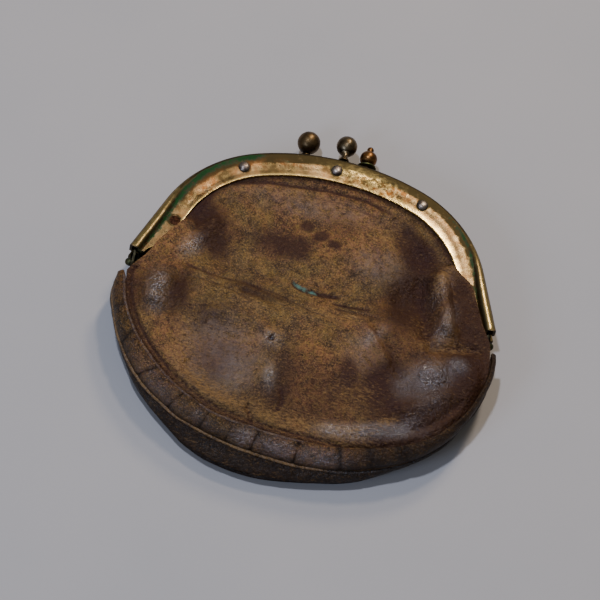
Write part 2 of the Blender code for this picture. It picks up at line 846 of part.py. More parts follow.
def main():
    clear_scene()
    collection = make_collection("coin_purse")
    cutters = make_collection("cutters")
    materials = make_materials()
    pivots = {leaf: make_pivot(f"{leaf}_pivot", collection) for leaf in ("front", "middle")}
    bpy.context.view_layer.update()
    make_metalwork(materials, collection, cutters, pivots)
    make_knobs(materials, collection, pivots)
    make_pouch(materials, collection, cutters, pivots)


main()
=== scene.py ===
import json
import math

import bmesh
import bpy
import numpy as np
from mathutils import Matrix, Vector, noise


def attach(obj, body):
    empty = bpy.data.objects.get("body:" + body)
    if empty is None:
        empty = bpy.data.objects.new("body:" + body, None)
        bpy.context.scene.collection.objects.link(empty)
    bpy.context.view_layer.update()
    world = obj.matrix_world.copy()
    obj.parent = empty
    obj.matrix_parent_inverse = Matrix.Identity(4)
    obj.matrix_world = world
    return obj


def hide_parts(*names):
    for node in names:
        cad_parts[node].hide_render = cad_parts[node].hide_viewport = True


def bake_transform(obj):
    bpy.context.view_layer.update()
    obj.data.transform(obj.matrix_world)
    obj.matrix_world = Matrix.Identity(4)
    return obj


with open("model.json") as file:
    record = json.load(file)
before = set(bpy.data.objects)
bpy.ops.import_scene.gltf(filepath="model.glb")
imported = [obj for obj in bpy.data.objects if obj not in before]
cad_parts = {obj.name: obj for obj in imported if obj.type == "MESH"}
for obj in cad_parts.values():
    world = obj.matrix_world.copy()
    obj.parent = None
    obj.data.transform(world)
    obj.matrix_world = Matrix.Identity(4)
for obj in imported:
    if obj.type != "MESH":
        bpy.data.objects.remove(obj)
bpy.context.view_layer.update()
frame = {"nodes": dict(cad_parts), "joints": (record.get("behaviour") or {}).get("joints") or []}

# Shapes are worked out in millimetres. x and y count from the middle of the hinge line and
# z from the table. toWorld turns them into the frame's metres.
hinge = Vector(frame["joints"][0]["pos_m"])
mm = 0.001
hingeZ = hinge.z / mm


def toWorld(x, y, z):
    return Vector((x * mm, hinge.y + y * mm, z * mm))


def smooth(share):
    share = np.clip(share, 0.0, 1.0)
    return share * share * (3 - 2 * share)


def bell(distance, width):
    return np.exp(-((distance / width) ** 2))


def ripple(x, y, size, seed=0.0):  # noise from -1 to 1 with features about `size` mm across
    pairs = zip(np.ravel(x) / size, np.ravel(y) / size)
    values = [noise.noise(Vector((a + seed, b - seed, seed))) for a, b in pairs]
    return np.array(values).reshape(np.shape(x))


# distance to a line of points, and the share of its length at the nearest one
def alongPath(x, y, path):
    path = np.array(path, float)
    steps = np.hypot(*(path[1:] - path[:-1]).T)
    before = np.concatenate([[0.0], np.cumsum(steps)])
    nearest = np.full(np.shape(x), 1e9)
    share = np.zeros(np.shape(x))
    for k, step in enumerate(steps):
        (ax, ay), (bx, by) = path[k], path[k + 1]
        t = np.clip(((x - ax) * (bx - ax) + (y - ay) * (by - ay)) / step ** 2, 0, 1)
        away = np.hypot(x - ax - t * (bx - ax), y - ay - t * (by - ay))
        share = np.where(away < nearest, (before[k] + t * step) / before[-1], share)
        nearest = np.minimum(away, nearest)
    return nearest, share


# sum of ridges (height above 0) and creases along lines, fading at their ends
def folds(x, y, features):
    total = np.zeros(np.shape(x))
    for path, width, height in features:
        away, share = alongPath(x, y, path)
        fade = smooth(share / 0.2 + 0.25) * smooth((1 - share) / 0.2 + 0.25)
        total += height * bell(away, width) * fade
    return total


# sum of round hills and hollows: (x, y), (half width, half length), turn, height
def mounds(x, y, features):
    total = np.zeros(np.shape(x))
    for (cx, cy), (wide, high), turn, height in features:
        c, s = math.cos(math.radians(turn)), math.sin(math.radians(turn))
        across = ((x - cx) * c + (y - cy) * s) / wide
        up = ((y - cy) * c - (x - cx) * s) / high
        total += height * np.exp(-((across ** 2 + up ** 2) ** 1.3))
    return total


# node and material helpers


def linear(hexText):  # sRGB hex to the linear colour that sockets take
    parts = [int(hexText[k : k + 2], 16) / 255 for k in (0, 2, 4)]
    return [c / 12.92 if c <= 0.04045 else ((c + 0.055) / 1.055) ** 2.4 for c in parts] + [1.0]


def perMm(size):  # texture scale for features `size` mm across
    return 1 / (size * mm)


def add(tree, kind, inputs=None, **settings):
    node = tree.nodes.new(kind)
    for key, value in settings.items():
        setattr(node, key, value)
    for key, value in (inputs or {}).items():
        socket = node.inputs[key]
        if isinstance(value, bpy.types.NodeSocket):
            tree.links.new(value, socket)
        else:
            socket.default_value = value
    return node


def newMaterial(name):
    material = bpy.data.materials.new(name)
    material.use_nodes = True
    tree = material.node_tree
    return material, tree, tree.nodes["Principled BSDF"]


def wear(obj, material):  # one material, in every slot
    obj.data.materials.clear()
    obj.data.materials.append(material)


# mesh helpers


def finishMesh(bm, name, body, material, replaces=(), smoothAngle=None):
    mesh = bpy.data.meshes.new(name)
    bm.to_mesh(mesh)
    bm.free()
    mesh.shade_smooth()
    if smoothAngle:
        mesh.set_sharp_from_angle(angle=math.radians(smoothAngle))
    obj = bpy.data.objects.new(name, mesh)
    bpy.context.scene.collection.objects.link(obj)
    wear(obj, material)
    if body:
        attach(obj, body)
    if replaces:
        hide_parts(*replaces)
    return obj


def mappedGrid(columns, rows, place):
    # a grid whose points are moved to place(u, v), with u and v as arrays from 0 to 1
    bm = bmesh.new()
    bmesh.ops.create_grid(bm, x_segments=columns, y_segments=rows, size=0.5)
    verts = list(bm.verts)
    u = np.array([vert.co.x + 0.5 for vert in verts])
    v = np.array([vert.co.y + 0.5 for vert in verts])
    for vert, x, y, z in zip(verts, *place(u, v)):
        vert.co = toWorld(x, y, z)
    return bm, u, v


def paint(bm, name, values):  # one number a point, for materials to read
    layer = bm.verts.layers.float.new(name)
    for vert, value in zip(bm.verts, np.clip(values, 0.0, 1.0)):
        vert[layer] = value


def turned(bm, profile, foot, direction, steps=40):
    # a solid turned about a line: (radius, distance from foot) in mm from the far end down
    verts = [bm.verts.new((radius * mm, 0, height * mm)) for radius, height in profile]
    edges = [bm.edges.new(pair) for pair in zip(verts, verts[1:])]
    before = len(bm.faces)
    bmesh.ops.spin(
        bm, geom=verts + edges, cent=(0, 0, 0), axis=(0, 0, 1), angle=2 * math.pi, steps=steps,
        use_merge=True, use_duplicate=False,
    )
    bm.faces.ensure_lookup_table()
    faces = bm.faces[before:]
    verts = list({vert for face in faces for vert in face.verts})
    bmesh.ops.remove_doubles(bm, verts=verts, dist=1e-6)
    bm.faces.ensure_lookup_table()
    faces = bm.faces[before:]
    verts = list({vert for face in faces for vert in face.verts})
    turn = Vector(direction).to_track_quat("Z", "Y").to_matrix().to_4x4()
    bmesh.ops.transform(bm, verts=verts, matrix=Matrix.Translation(toWorld(*foot)) @ turn)
    bmesh.ops.recalc_face_normals(bm, faces=faces)


def modifier(obj, name, kind, **settings):
    made = obj.modifiers.new(name, kind)
    for key, value in settings.items():
        setattr(made, key, value)
    return made


# a smooth line through points, as an array of close points
def splineThrough(points, closed=False):
    points = [Vector(p) for p in points]
    if closed:
        ends = [points[-1]] + points + points[:2]
    else:
        ends = [points[0] * 2 - points[1]] + points + [points[-1] * 2 - points[-2]]
    fine = []
    for a, b, c, d in zip(ends, ends[1:], ends[2:], ends[3:]):
        for k in range(16):
            t = k / 16
            fine.append(
                0.5 * (2 * b + (c - a) * t + (2 * a - 5 * b + 4 * c - d) * t * t
                       + (3 * b - a - 3 * c + d) * t ** 3)
            )
    fine.append(fine[0] if closed else points[-1])
    return np.array([list(p) for p in fine])


def atShare(line, share):  # points of a line at shares of its length, as one array a column
    steps = np.sqrt(((line[1:] - line[:-1]) ** 2).sum(axis=1))
    shares = np.concatenate([[0.0], np.cumsum(steps)]) / steps.sum()
    return [np.interp(share, shares, column) for column in line.T]


# the frame's arch: a flat top arc, a tighter shoulder arc and a straight leg, in mm

archShape = {
    "top": 39.75, "topRadius": 61.6, "topAngle": math.radians(19.4),
    "shoulderRadius": 32.2, "legAngle": math.radians(69.0), "legLength": 16.0,
}


def archAt(distance):  # x, y and outward normal at distances along the outer edge from the apex
    a = archShape
    side, s = np.sign(distance), np.abs(distance)
    topEnd = a["topRadius"] * a["topAngle"]
    shoulderEnd = topEnd + a["shoulderRadius"] * (a["legAngle"] - a["topAngle"])
    drop = a["topRadius"] - a["shoulderRadius"]
    onTop = s < topEnd
    bend = a["topAngle"] + (np.minimum(s, shoulderEnd) - topEnd) / a["shoulderRadius"]
    angle = np.where(onTop, s / a["topRadius"], bend)
    radius = np.where(onTop, a["topRadius"], a["shoulderRadius"])
    cx = np.where(onTop, 0.0, math.sin(a["topAngle"]) * drop)
    cy = a["top"] - a["topRadius"] + np.where(onTop, 0.0, math.cos(a["topAngle"]) * drop)
    nx, ny = np.sin(angle), np.cos(angle)
    leg = np.maximum(0.0, s - shoulderEnd)
    return side * (cx + nx * radius + ny * leg), cy + ny * radius - nx * leg, side * nx, ny


archHalf = (
    archShape["topRadius"] * archShape["topAngle"]
    + archShape["shoulderRadius"] * (archShape["legAngle"] - archShape["topAngle"])
    + archShape["legLength"]
)


def insideArch(s, inset, z):  # one point, at a depth inside the arch's outer edge
    x, y, nx, ny = (float(value) for value in archAt(np.array(float(s))))
    return x - nx * inset, y - ny * inset, z


print("helpers ready")

# materials


def makePlate():
    # nickel plate over brass, pressed and rolled, then carried for a century: the plating has gone
    # yellow and flakes off, handled edges show bright brass, painted highlights in that bright
    # colour run along the bead's crest and across the flange's right, verdigris sits in the groove,
    # and dark dirt mixed with painted shade darkens the bead's sides, the groove and the rings
    # round the rivets
    material, tree, shader = newMaterial("nickelPlatedBrassWorn")
    place = add(tree, "ShaderNodeTexCoord").outputs["Object"]
    green = add(tree, "ShaderNodeAttribute", attribute_name="verdigris").outputs["Fac"]
    polishAndHighlight = add(tree, "ShaderNodeAttribute", attribute_name="polishAndHighlight").outputs["Fac"]
    flakes = add(
        tree, "ShaderNodeTexNoise",
        {"Vector": place, "Scale": perMm(1.3), "Detail": 9.0, "Roughness": 0.74}
    )
    flakeMask = add(
        tree, "ShaderNodeMapRange", {0: flakes.outputs["Fac"], 1: 0.45, 2: 0.56}, clamp=True
    )
    patches = add(
        tree, "ShaderNodeTexNoise",
        {"Vector": place, "Scale": perMm(7.0), "Detail": 5.0, "Roughness": 0.6}
    )
    patchMask = add(
        tree, "ShaderNodeMapRange", {0: patches.outputs["Fac"], 1: 0.42, 2: 0.58}, clamp=True
    )
    nickel = add(
        tree, "ShaderNodeMix", {0: patchMask.outputs[0], 6: linear("57482d"), 7: linear("7c6648")},
        data_type="RGBA"
    )
    brass = add(
        tree, "ShaderNodeMix", {0: patchMask.outputs[0], 6: linear("251808"), 7: linear("6e4016")},
        data_type="RGBA"
    )
    flaking = add(tree, "ShaderNodeAttribute", attribute_name="flaking").outputs["Fac"]
    lost = add(tree, "ShaderNodeMath", {0: flakeMask.outputs[0], 1: flaking}, operation="MULTIPLY")
    metal = add(
        tree, "ShaderNodeMix", {0: lost.outputs[0], 6: nickel.outputs[2], 7: brass.outputs[2]},
        data_type="RGBA"
    )
    # dirt and painted shade: the attribute darkens real dirt and also paints shade on the bead's
    # sides, in the groove and round the rivet heads
    grimeAndShade = add(tree, "ShaderNodeAttribute", attribute_name="grimeAndShade").outputs["Fac"]
    grimeAndShadeMask = add(
        tree, "ShaderNodeMath", {0: grimeAndShade, 1: flakes.outputs["Fac"], 2: 0.0},
        operation="MULTIPLY_ADD"
    )
    grimeAndShadeFull = add(
        tree, "ShaderNodeMapRange", {0: grimeAndShadeMask.outputs[0], 1: 0.18, 2: 0.42}, clamp=True
    )
    grimedAndShaded = add(
        tree, "ShaderNodeMix", {0: grimeAndShadeFull.outputs[0], 6: metal.outputs[2], 7: linear("2f250f")},
        data_type="RGBA"
    )
    copper = add(tree, "ShaderNodeAttribute", attribute_name="copper").outputs["Fac"]
    copperMask = add(
        tree, "ShaderNodeMath", {0: copper, 1: patchMask.outputs[0]}, operation="MULTIPLY"
    )
    coppery = add(
        tree, "ShaderNodeMix", {0: copperMask.outputs[0], 6: grimedAndShaded.outputs[2], 7: linear("7c4a22")},
        data_type="RGBA"
    )
    kept = add(
        tree, "ShaderNodeMath", {0: lost.outputs[0], 1: -0.85, 2: 1.0}, operation="MULTIPLY_ADD"
    )
    # handled polish and painted highlight: these places turn bright gold
    rubbedAndHighlight = add(tree, "ShaderNodeMath", {0: polishAndHighlight, 1: kept.outputs[0]}, operation="MULTIPLY")
    bright = add(
        tree, "ShaderNodeMix", {0: rubbedAndHighlight.outputs[0], 6: coppery.outputs[2], 7: linear("dcbc74")},
        data_type="RGBA"
    )
    greenNoise = add(
        tree, "ShaderNodeTexNoise",
        {"Vector": place, "Scale": perMm(0.9), "Detail": 6.0, "Roughness": 0.7}
    )
    greenSum = add(
        tree, "ShaderNodeMath", {0: greenNoise.outputs["Fac"], 1: 1.5, 2: green},
        operation="MULTIPLY_ADD"
    )
    greenMask = add(
        tree, "ShaderNodeMapRange", {0: greenSum.outputs[0], 1: 1.22, 2: 1.5}, clamp=True
    )
    greenTone = add(
        tree, "ShaderNodeMix",
        {0: greenNoise.outputs["Fac"], 6: linear("07140a"), 7: linear("24481c")}, data_type="RGBA"
    )
    colour = add(
        tree, "ShaderNodeMix",
        {0: greenMask.outputs[0], 6: bright.outputs[2], 7: greenTone.outputs[2]}, data_type="RGBA"
    )
    tree.links.new(colour.outputs[2], shader.inputs["Base Color"])
    bare = add(tree, "ShaderNodeMapRange", {0: grimeAndShadeFull.outputs[0], 3: 1.0, 4: 0.9})
    sheen = add(tree, "ShaderNodeMapRange", {0: greenMask.outputs[0], 3: 0.5, 4: 0.08})
    tree.links.new(sheen.outputs[0], shader.inputs["Specular IOR Level"])
    metalness = add(tree, "ShaderNodeMix", {0: greenMask.outputs[0], 2: bare.outputs[0], 3: 0.05})
    tree.links.new(metalness.outputs[0], shader.inputs["Metallic"])
    worn = add(
        tree, "ShaderNodeMapRange", {0: flakes.outputs["Fac"], 1: 0.3, 2: 0.7, 3: 0.22, 4: 0.46}
    )
    dull = add(tree, "ShaderNodeMix", {0: grimeAndShadeFull.outputs[0], 2: worn.outputs[0], 3: 0.5})
    shiny = add(tree, "ShaderNodeMix", {0: polishAndHighlight, 2: dull.outputs[0], 3: 0.2})
    crust = add(tree, "ShaderNodeMix", {0: greenMask.outputs[0], 2: shiny.outputs[0], 3: 0.75})
    tree.links.new(crust.outputs[0], shader.inputs["Roughness"])
    relief = add(
        tree, "ShaderNodeMath", {0: lost.outputs[0], 1: -0.5, 2: flakes.outputs["Fac"]},
        operation="MULTIPLY_ADD"
    )
    bump = add(
        tree, "ShaderNodeBump", {"Height": relief.outputs[0], "Strength": 0.35, "Distance": 0.00012}
    )
    tree.links.new(bump.outputs[0], shader.inputs["Normal"])
    return material


def makeTarnished(name, dark, light, roughness, grainMm):
    # bare or thinly plated metal handled dark: brown-black tarnish mottled with brighter metal
    material, tree, shader = newMaterial(name)
    place = add(tree, "ShaderNodeTexCoord").outputs["Object"]
    cloud = add(
        tree, "ShaderNodeTexNoise",
        {"Vector": place, "Scale": perMm(grainMm), "Detail": 8.0, "Roughness": 0.65}
    )
    mask = add(tree, "ShaderNodeMapRange", {0: cloud.outputs["Fac"], 1: 0.36, 2: 0.64}, clamp=True)
    colour = add(
        tree, "ShaderNodeMix", {0: mask.outputs[0], 6: linear(dark), 7: linear(light)},
        data_type="RGBA"
    )
    tree.links.new(colour.outputs[2], shader.inputs["Base Color"])
    shader.inputs["Metallic"].default_value = 1.0
    rough = add(
        tree, "ShaderNodeMapRange",
        {0: cloud.outputs["Fac"], 1: 0.3, 2: 0.7, 3: roughness + 0.14, 4: roughness}
    )
    tree.links.new(rough.outputs[0], shader.inputs["Roughness"])
    bump = add(
        tree, "ShaderNodeBump",
        {"Height": cloud.outputs["Fac"], "Strength": 0.3, "Distance": 0.00008}
    )
    tree.links.new(bump.outputs[0], shader.inputs["Normal"])
    return material


def makeLeather(name, tones, roughness):
    # vegetable-tanned calf, oiled and handled dark: mottled browns over two scales, a fine crackled
    # grain, scuffs worn back to tan (with a painted highlight along the divider's lip), dark stains
    # with painted shade in creases, wrinkles, the seam groove and under the frame's edge, a grey
    # bloom mixed with a painted sheen, painted shade where the shade attribute is set, and a shine
    # where it is burnished
    material, tree, shader = newMaterial(name)
    place = add(tree, "ShaderNodeTexCoord").outputs["Object"]

    def painted(attribute):
        return add(tree, "ShaderNodeAttribute", attribute_name=attribute).outputs["Fac"]

    def cloud(size, detail, roughnessLevel, vector=place, distortion=0.0):
        node = add(tree, "ShaderNodeTexNoise", {
            "Vector": vector, "Scale": perMm(size), "Detail": detail, "Roughness": roughnessLevel,
            "Distortion": distortion,
        })
        return node.outputs["Fac"]

    def between(value, low, high, toLow=0.0, toHigh=1.0):
        return add(
            tree, "ShaderNodeMapRange", {0: value, 1: low, 2: high, 3: toLow, 4: toHigh}, clamp=True
        ).outputs[0]

    def blendTo(share, first, second, mode="MIX"):
        return add(
            tree, "ShaderNodeMix", {0: share, 6: first, 7: second}, data_type="RGBA",
            blend_type=mode
        ).outputs[2]

    def times(a, b, c=0.0):
        return add(tree, "ShaderNodeMath", {0: a, 1: b, 2: c}, operation="MULTIPLY_ADD").outputs[0]

    wide, mid, fine = (
        cloud(19, 5.0, 0.6, distortion=0.6), cloud(5.2, 9.0, 0.7, distortion=0.3),
        cloud(1.5, 8.0, 0.74),
    )
    fleck = cloud(0.42, 5.0, 0.7)
    blot = cloud(2.6, 7.0, 0.72, distortion=0.5)
    warm = blendTo(between(mid, 0.40, 0.60), linear(tones["brown"]), linear(tones["tan"]))
    cool = blendTo(between(mid, 0.40, 0.60), linear(tones["umber"]), linear(tones["olive"]))
    base = blendTo(between(wide, 0.43, 0.57), cool, warm)
    base = blendTo(between(blot, 0.50, 0.40, 0.0, 0.65), base, linear(tones["dark"]))
    base = blendTo(between(blot, 0.53, 0.64, 0.0, 0.5), base, linear(tones["light"]))
    base = blendTo(between(fine, 0.52, 0.42, 0.0, 0.75), base, linear(tones["dark"]))
    base = blendTo(between(fleck, 0.50, 0.42, 0.0, 0.6), base, linear(tones["dark"]))
    base = blendTo(between(fleck, 0.52, 0.61, 0.0, 0.6), base, linear(tones["scuff"]))
    for size, weight in ((0.8, 0.75), (1.7, 0.6)):
        lines = cloud(size, 3.0, 0.6, distortion=0.8)
        away = add(tree, "ShaderNodeMath", {0: lines, 1: 0.5}, operation="SUBTRACT").outputs[0]
        away = add(tree, "ShaderNodeMath", {0: away}, operation="ABSOLUTE").outputs[0]
        drawn = times(between(away, 0.045, 0.0, 0.0, weight), between(mid, 0.40, 0.62, 0.15, 1.0))
        base = blendTo(drawn, base, linear(tones["vein"]))
    swirl = add(tree, "ShaderNodeTexNoise", {"Vector": place, "Scale": perMm(1.2), "Detail": 3.0})
    offset = add(
        tree, "ShaderNodeVectorMath",
        {0: swirl.outputs["Color"], 1: (0.0007, 0.0007, 0.0007), 2: place}, operation="MULTIPLY_ADD"
    )
    cells = add(
        tree, "ShaderNodeTexVoronoi", {"Vector": offset.outputs[0], "Scale": perMm(0.62)},
        feature="DISTANCE_TO_EDGE"
    )
    crackle = between(cells.outputs["Distance"], 0.0, 0.16)
    patchy = between(wide, 0.62, 0.42, 0.12, 0.5)
    cracked = blendTo(crackle, linear(tones["dark"]), base)
    base = blendTo(patchy, base, cracked)
    deep = between(times(fine, 0.6, painted("shade")), 0.28, 1.0, 0.0, 0.92)
    base = blendTo(deep, base, linear(tones["deep"]))
    # grey bloom and painted sheen: a greasy grey bloom, which on the front panel's round dent and
    # on the gusset's lit pads is a painted sheen
    bloomAndSheen = times(painted("greaseAndSheen"), between(fine, 0.36, 0.60), 0.0)
    base = blendTo(bloomAndSheen, base, linear(tones["bloomAndSheen"]))
    # stains and painted shade: the stain tone also darkens crease valleys, wrinkles, the seam
    # groove and the strip under the frame's edge
    stainEdge = between(times(times(mid, 0.8, fine), 0.9, painted("stainAndShade")), 1.0, 1.4, 0.0, 0.85)
    base = blendTo(stainEdge, base, linear(tones["stainAndShade"]))
    scuffPlace = add(
        tree, "ShaderNodeMapping",
        {"Vector": place, "Rotation": (0, 0, math.radians(28)), "Scale": (1.0, 2.4, 1.0)}
    )
    scuff = cloud(1.1, 8.0, 0.76, scuffPlace.outputs[0])
    # scuff colour; along the divider's lip this tan is partly a painted highlight
    worn = between(times(painted("rubbedAndHighlight"), 0.30, scuff), 0.56, 0.80, 0.0, 0.65)
    base = blendTo(worn, base, linear(tones["scuff"]))
    green = between(times(painted("verdigris"), 0.6, fine), 0.80, 1.1, 0.0, 0.9)
    base = blendTo(green, base, linear("587562"))
    tree.links.new(base, shader.inputs["Base Color"])
    matt = times(worn, 0.12, between(mid, 0.3, 0.7, roughness - 0.06, roughness + 0.1))
    gloss = add(tree, "ShaderNodeMix", {0: painted("burnish"), 2: matt, 3: 0.22}).outputs[0]
    tree.links.new(gloss, shader.inputs["Roughness"])
    shine = add(tree, "ShaderNodeMix", {0: painted("burnish"), 2: 0.14, 3: 1.0}).outputs[0]
    tree.links.new(shine, shader.inputs["Specular IOR Level"])
    speckled = times(painted("burnish"), between(blot, 0.42, 0.56, 0.1, 0.75), 0.0)
    tree.links.new(times(speckled, between(fine, 0.42, 0.58), 0.0), shader.inputs["Coat Weight"])
    shader.inputs["Coat Roughness"].default_value = 0.26
    pebble = cloud(0.85, 1.6, 0.5, distortion=0.4)
    grain = times(fleck, 0.15, times(fine, 0.35, times(crackle, 0.12, times(scuff, 0.3, pebble))))
    bump = add(tree, "ShaderNodeBump", {"Height": grain, "Strength": 1.0, "Distance": 0.0006})
    tree.links.new(bump.outputs[0], shader.inputs["Normal"])
    tree.links.new(bump.outputs[0], shader.inputs["Coat Normal"])
    return material


panelTones = {
    "tan": "855233", "brown": "5f3a26", "umber": "553f2d", "olive": "6e5a36", "dark": "24160d",
    "stainAndShade": "2f1811", "deep": "2f180d",
    "scuff": "98713f", "bloomAndSheen": "705e52", "light": "94683c",
    "vein": "8a672f",
}
gussetTones = {
    "tan": "5a3016", "brown": "42240d", "umber": "361e0c", "olive": "46300c", "dark": "140b05",
    "stainAndShade": "0e0804", "deep": "1b0f06",
    "scuff": "8a6436", "bloomAndSheen": "6e5048", "light": "6b431c",
    "vein": "6b4c1c",
}

plate = makePlate()
knobBronze = makeTarnished("brassKnobTarnished", "382a18", "6a5336", 0.34, 2.2)
rivetSteel = makeTarnished("steelRivetWorn", "463a32", "958678", 0.3, 0.9)
pinMetal = makeTarnished("brassPinVerdigris", "2a2a16", "4e4a30", 0.45, 1.2)
lugMetal = makeTarnished("brassLugBlackened", "18150e", "37301f", 0.4, 1.6)
knobPlated = makeTarnished("brassKnobHalfPlated", "3a2d1c", "77654a", 0.28, 2.2)
finialBrass = makeTarnished("brassFinialHandled", "402a16", "845a30", 0.3, 2.0)
collarBrass = makeTarnished("brassCollarGreened", "1f2c18", "6a6238", 0.38, 1.0)
rustySteel = makeTarnished("steelRivetRusted", "1c120b", "4e3020", 0.6, 0.5)
channelBrass = makeTarnished("brassChannelTarnished", "4a3c20", "7e6a3c", 0.38, 3.0)
panelLeather = makeLeather("calfPanelOiled", panelTones, 0.5)
gussetLeather = makeLeather("calfGussetDark", gussetTones, 0.44)
print("materials ready")

hardware = {
    "lugX": {"front": 44.0, "middle": 42.8, "back": 41.6},
    "lugReach": {"front": 4.8, "middle": 9.2, "back": 11.6},
    "lugSheet": 0.8, "eye": 2.0, "bore": 0.85, "pin": 0.75, "pinHead": 1.05,
    "rivetArcs": (-53.0, -25.6, -1.0, 23.6, 53.0), "middleArcs": (-37.0, -12.0, 12.0, 37.0),
    "rivetInset": 3.7, "beadInset": 1.6, "shownHead": (1.4, 0.7), "coveredHead": (0.95, 0.3),
    "shank": 0.6,
}

# the outer leaves: pressed sheet with a flat flange and a rolled bead down each leg

leaf = {
    "flangeTop": 4.6, "rimFoot": 1.3, "width": 6.8, "endWidth": 4.0, "taper": 7.0,
    "edgeRadius": 1.0, "beadRadius": 1.6, "beadLift": 0.5, "beadStart": 30.0, "beadFull": 58.0,
    "sheet": 0.7, "columns": 460, "flatRows": 16, "arcRows": 16,
}


def beadSwell(s):
    return smooth((np.abs(s) - leaf["beadStart"]) / (leaf["beadFull"] - leaf["beadStart"]))


def leafPoint(s, row):  # outwards and up from the hinge plane, on the sheet's outer face
    swell = beadSwell(s)
    radius = leaf["edgeRadius"] + (leaf["beadRadius"] - leaf["edgeRadius"]) * swell
    centre = leaf["flangeTop"] + leaf["beadLift"] * swell - radius
    sweep = np.radians(90 + 68 * swell)
    foot = radius * (1 - np.cos(sweep)) + 0.35
    width = leaf["endWidth"] + (leaf["width"] - leaf["endWidth"]) * smooth(
        (archHalf - np.abs(s)) / leaf["taper"]
    )
    flat = np.clip(row / leaf["flatRows"], 0, 1)
    arc = np.clip((row - leaf["flatRows"] - 1) / leaf["arcRows"], 0, 1)
    drop = np.clip((row - leaf["flatRows"] - leaf["arcRows"] - 1) / 2, 0, 1)
    angle = sweep * (1 - arc)
    onFlat = row <= leaf["flatRows"]
    out = np.where(onFlat, -width + (width - foot) * flat, radius * (np.cos(angle) - 1))
    up = np.where(onFlat, leaf["flangeTop"], centre + radius * np.sin(angle))
    return np.where(drop > 0, 0.0, out), np.where(
        drop > 0, centre + (leaf["rimFoot"] - centre) * drop, up
    )


def makeOuterLeaf(name, side, body, replaces):
    rows = leaf["flatRows"] + leaf["arcRows"] + 3

    def place(u, v):
        s = (u * 2 - 1) * archHalf
        row = np.round(v * rows)
        x, y, nx, ny = archAt(s)
        out, up = leafPoint(s, row)
        up = up + 0.06 * ripple(x, y, 9.0, 3.0) + 0.03 * ripple(x + out, y, 3.5, 7.0)
        up = up - 0.10 * bell(row - 5, 2.2) * (1 - beadSwell(s))
        out = out + np.where(row < 1, 0.07 * ripple(s, side * 4.0 + 0 * s, 4.0, 1.0), 0.0)
        return x + nx * out, y + ny * out, hingeZ + side * up

    bm, u, v = mappedGrid(leaf["columns"], rows, place)
    s = (u * 2 - 1) * archHalf
    flatEnd = leaf["flatRows"] / rows
    arcEnd = (leaf["flatRows"] + leaf["arcRows"] + 1) / rows
    swell = beadSwell(s)
    groove = bell(v - flatEnd - 0.02, np.where(s < 0, 0.13, 0.09))
    ragged = ripple(s, v * 6, 5.0, 2.0)
    leftGreen = smooth((-s - 13) / 12) * (1 - 0.35 * smooth((-s - 54) / 8))
    rightGreen = 0.8 * smooth((s - 25) / 10) * (1 - 0.5 * smooth((s - 52) / 8))
    specks = (
        0.6 * bell(s + 14.5, 1.6) * bell(v - 0.32, 0.08)
        + 0.4 * bell(s + 30, 3.0) * bell(v - 0.2, 0.1)
    )
    paint(bm, "verdigris", groove * (leftGreen + rightGreen) * (0.8 + 0.35 * ragged) + specks)
    # painted highlights: the bead's crest, the flange's right lip and the bright patch just right
    # of the apex; the inner lip is partly handled wear, partly a painted highlight
    crest = bell(v - (flatEnd + 0.58 * (arcEnd - flatEnd)), 0.06) * swell
    # painted shade on the bead's inner side, next to the groove
    innerSide = bell(v - (flatEnd + 0.28 * (arcEnd - flatEnd)), 0.07) * swell
    lip = bell(v, 0.03) * (0.7 + 0.3 * smooth((-s + 3) / 8))
    rightLip = smooth((s - 8) / 20) * bell(v - 0.01, 0.085 + 0.03 * ragged)
    gold = bell(s - 7, 7) * bell(v - 0.28, 0.13) * (0.5 + 0.9 * ripple(s, v * 30, 1.2, 5.0))
    paint(bm, "polishAndHighlight", 0.85 * crest + 0.7 * lip + 0.9 * rightLip + 0.8 * gold)
    paint(
        bm, "flaking",
        0.4 + 0.6 * bell(s - 11, 11) + 0.55 * bell(s + 15, 12) * bell(v - 0.33, 0.12)
        + 0.4 * bell(s + 40, 8)
    )
    corner = smooth((v - flatEnd + 0.2) / 0.14) * (1 - swell)
    outerSide = smooth((v - arcEnd + 0.16) / 0.12) * swell
    streaks = bell(s + 13, 10) * bell(v - 0.36, 0.09) * (0.6 + 1.2 * ripple(s, v * 40, 2.2, 9.0))
    depth = -leafPoint(s, np.round(v * rows))[0]
    rings = 0 * s
    for arc in hardware["rivetArcs"]:
        away = np.hypot(
            s - arc, depth - hardware["rivetInset"] - hardware["beadInset"] * beadSwell(arc)
        )
        rings = rings + bell(away - 1.55, 0.28)
    # dirt and painted shade: the bead's inner and outer sides and the groove get painted shade, the
    # rings where the rivet heads meet the plate are painted shade and dirt, the outer corner band
    # is darkened, and the streaks and the left end are dirt
    paint(
        bm, "grimeAndShade",
        corner * 1.1 + 0.9 * streaks + 0.9 * rings + 0.35 * groove + 0.9 * outerSide
        + 0.9 * innerSide + 0.4 * bell(s + 38, 12) * (0.7 + ragged)
    )
    paint(
        bm, "copper",
        0.5 * bell(s + 34, 9) * bell(v - 0.26, 0.09) + 0.5 * bell(s + 20, 5) * bell(v - 0.3, 0.08)
    )
    if side < 0:
        bmesh.ops.reverse_faces(bm, faces=bm.faces)
    obj = finishMesh(bm, name, body, plate, replaces)
    modifier(
        obj, "sheet", "SOLIDIFY", thickness=leaf["sheet"] * mm, offset=-1.0, use_even_offset=True
    )
    modifier(
        obj, "edges", "BEVEL", width=0.16 * mm, segments=2, limit_method="ANGLE",
        angle_limit=math.radians(50)
    )
    return obj


makeOuterLeaf("front_leaf_plate", 1, "front_leaf", ["front_leaf"])
makeOuterLeaf("back_leaf_plate", -1, "root", ["back_leaf"])
print("leaves pressed")

# the middle leaf: a folded channel that grips the divider's edge

channel = {
    "half": 1.0, "corner": 0.35, "width": 5.2, "endWidth": 2.0, "taper": 7.0, "trim": 1.5,
    "sheet": 0.38
}


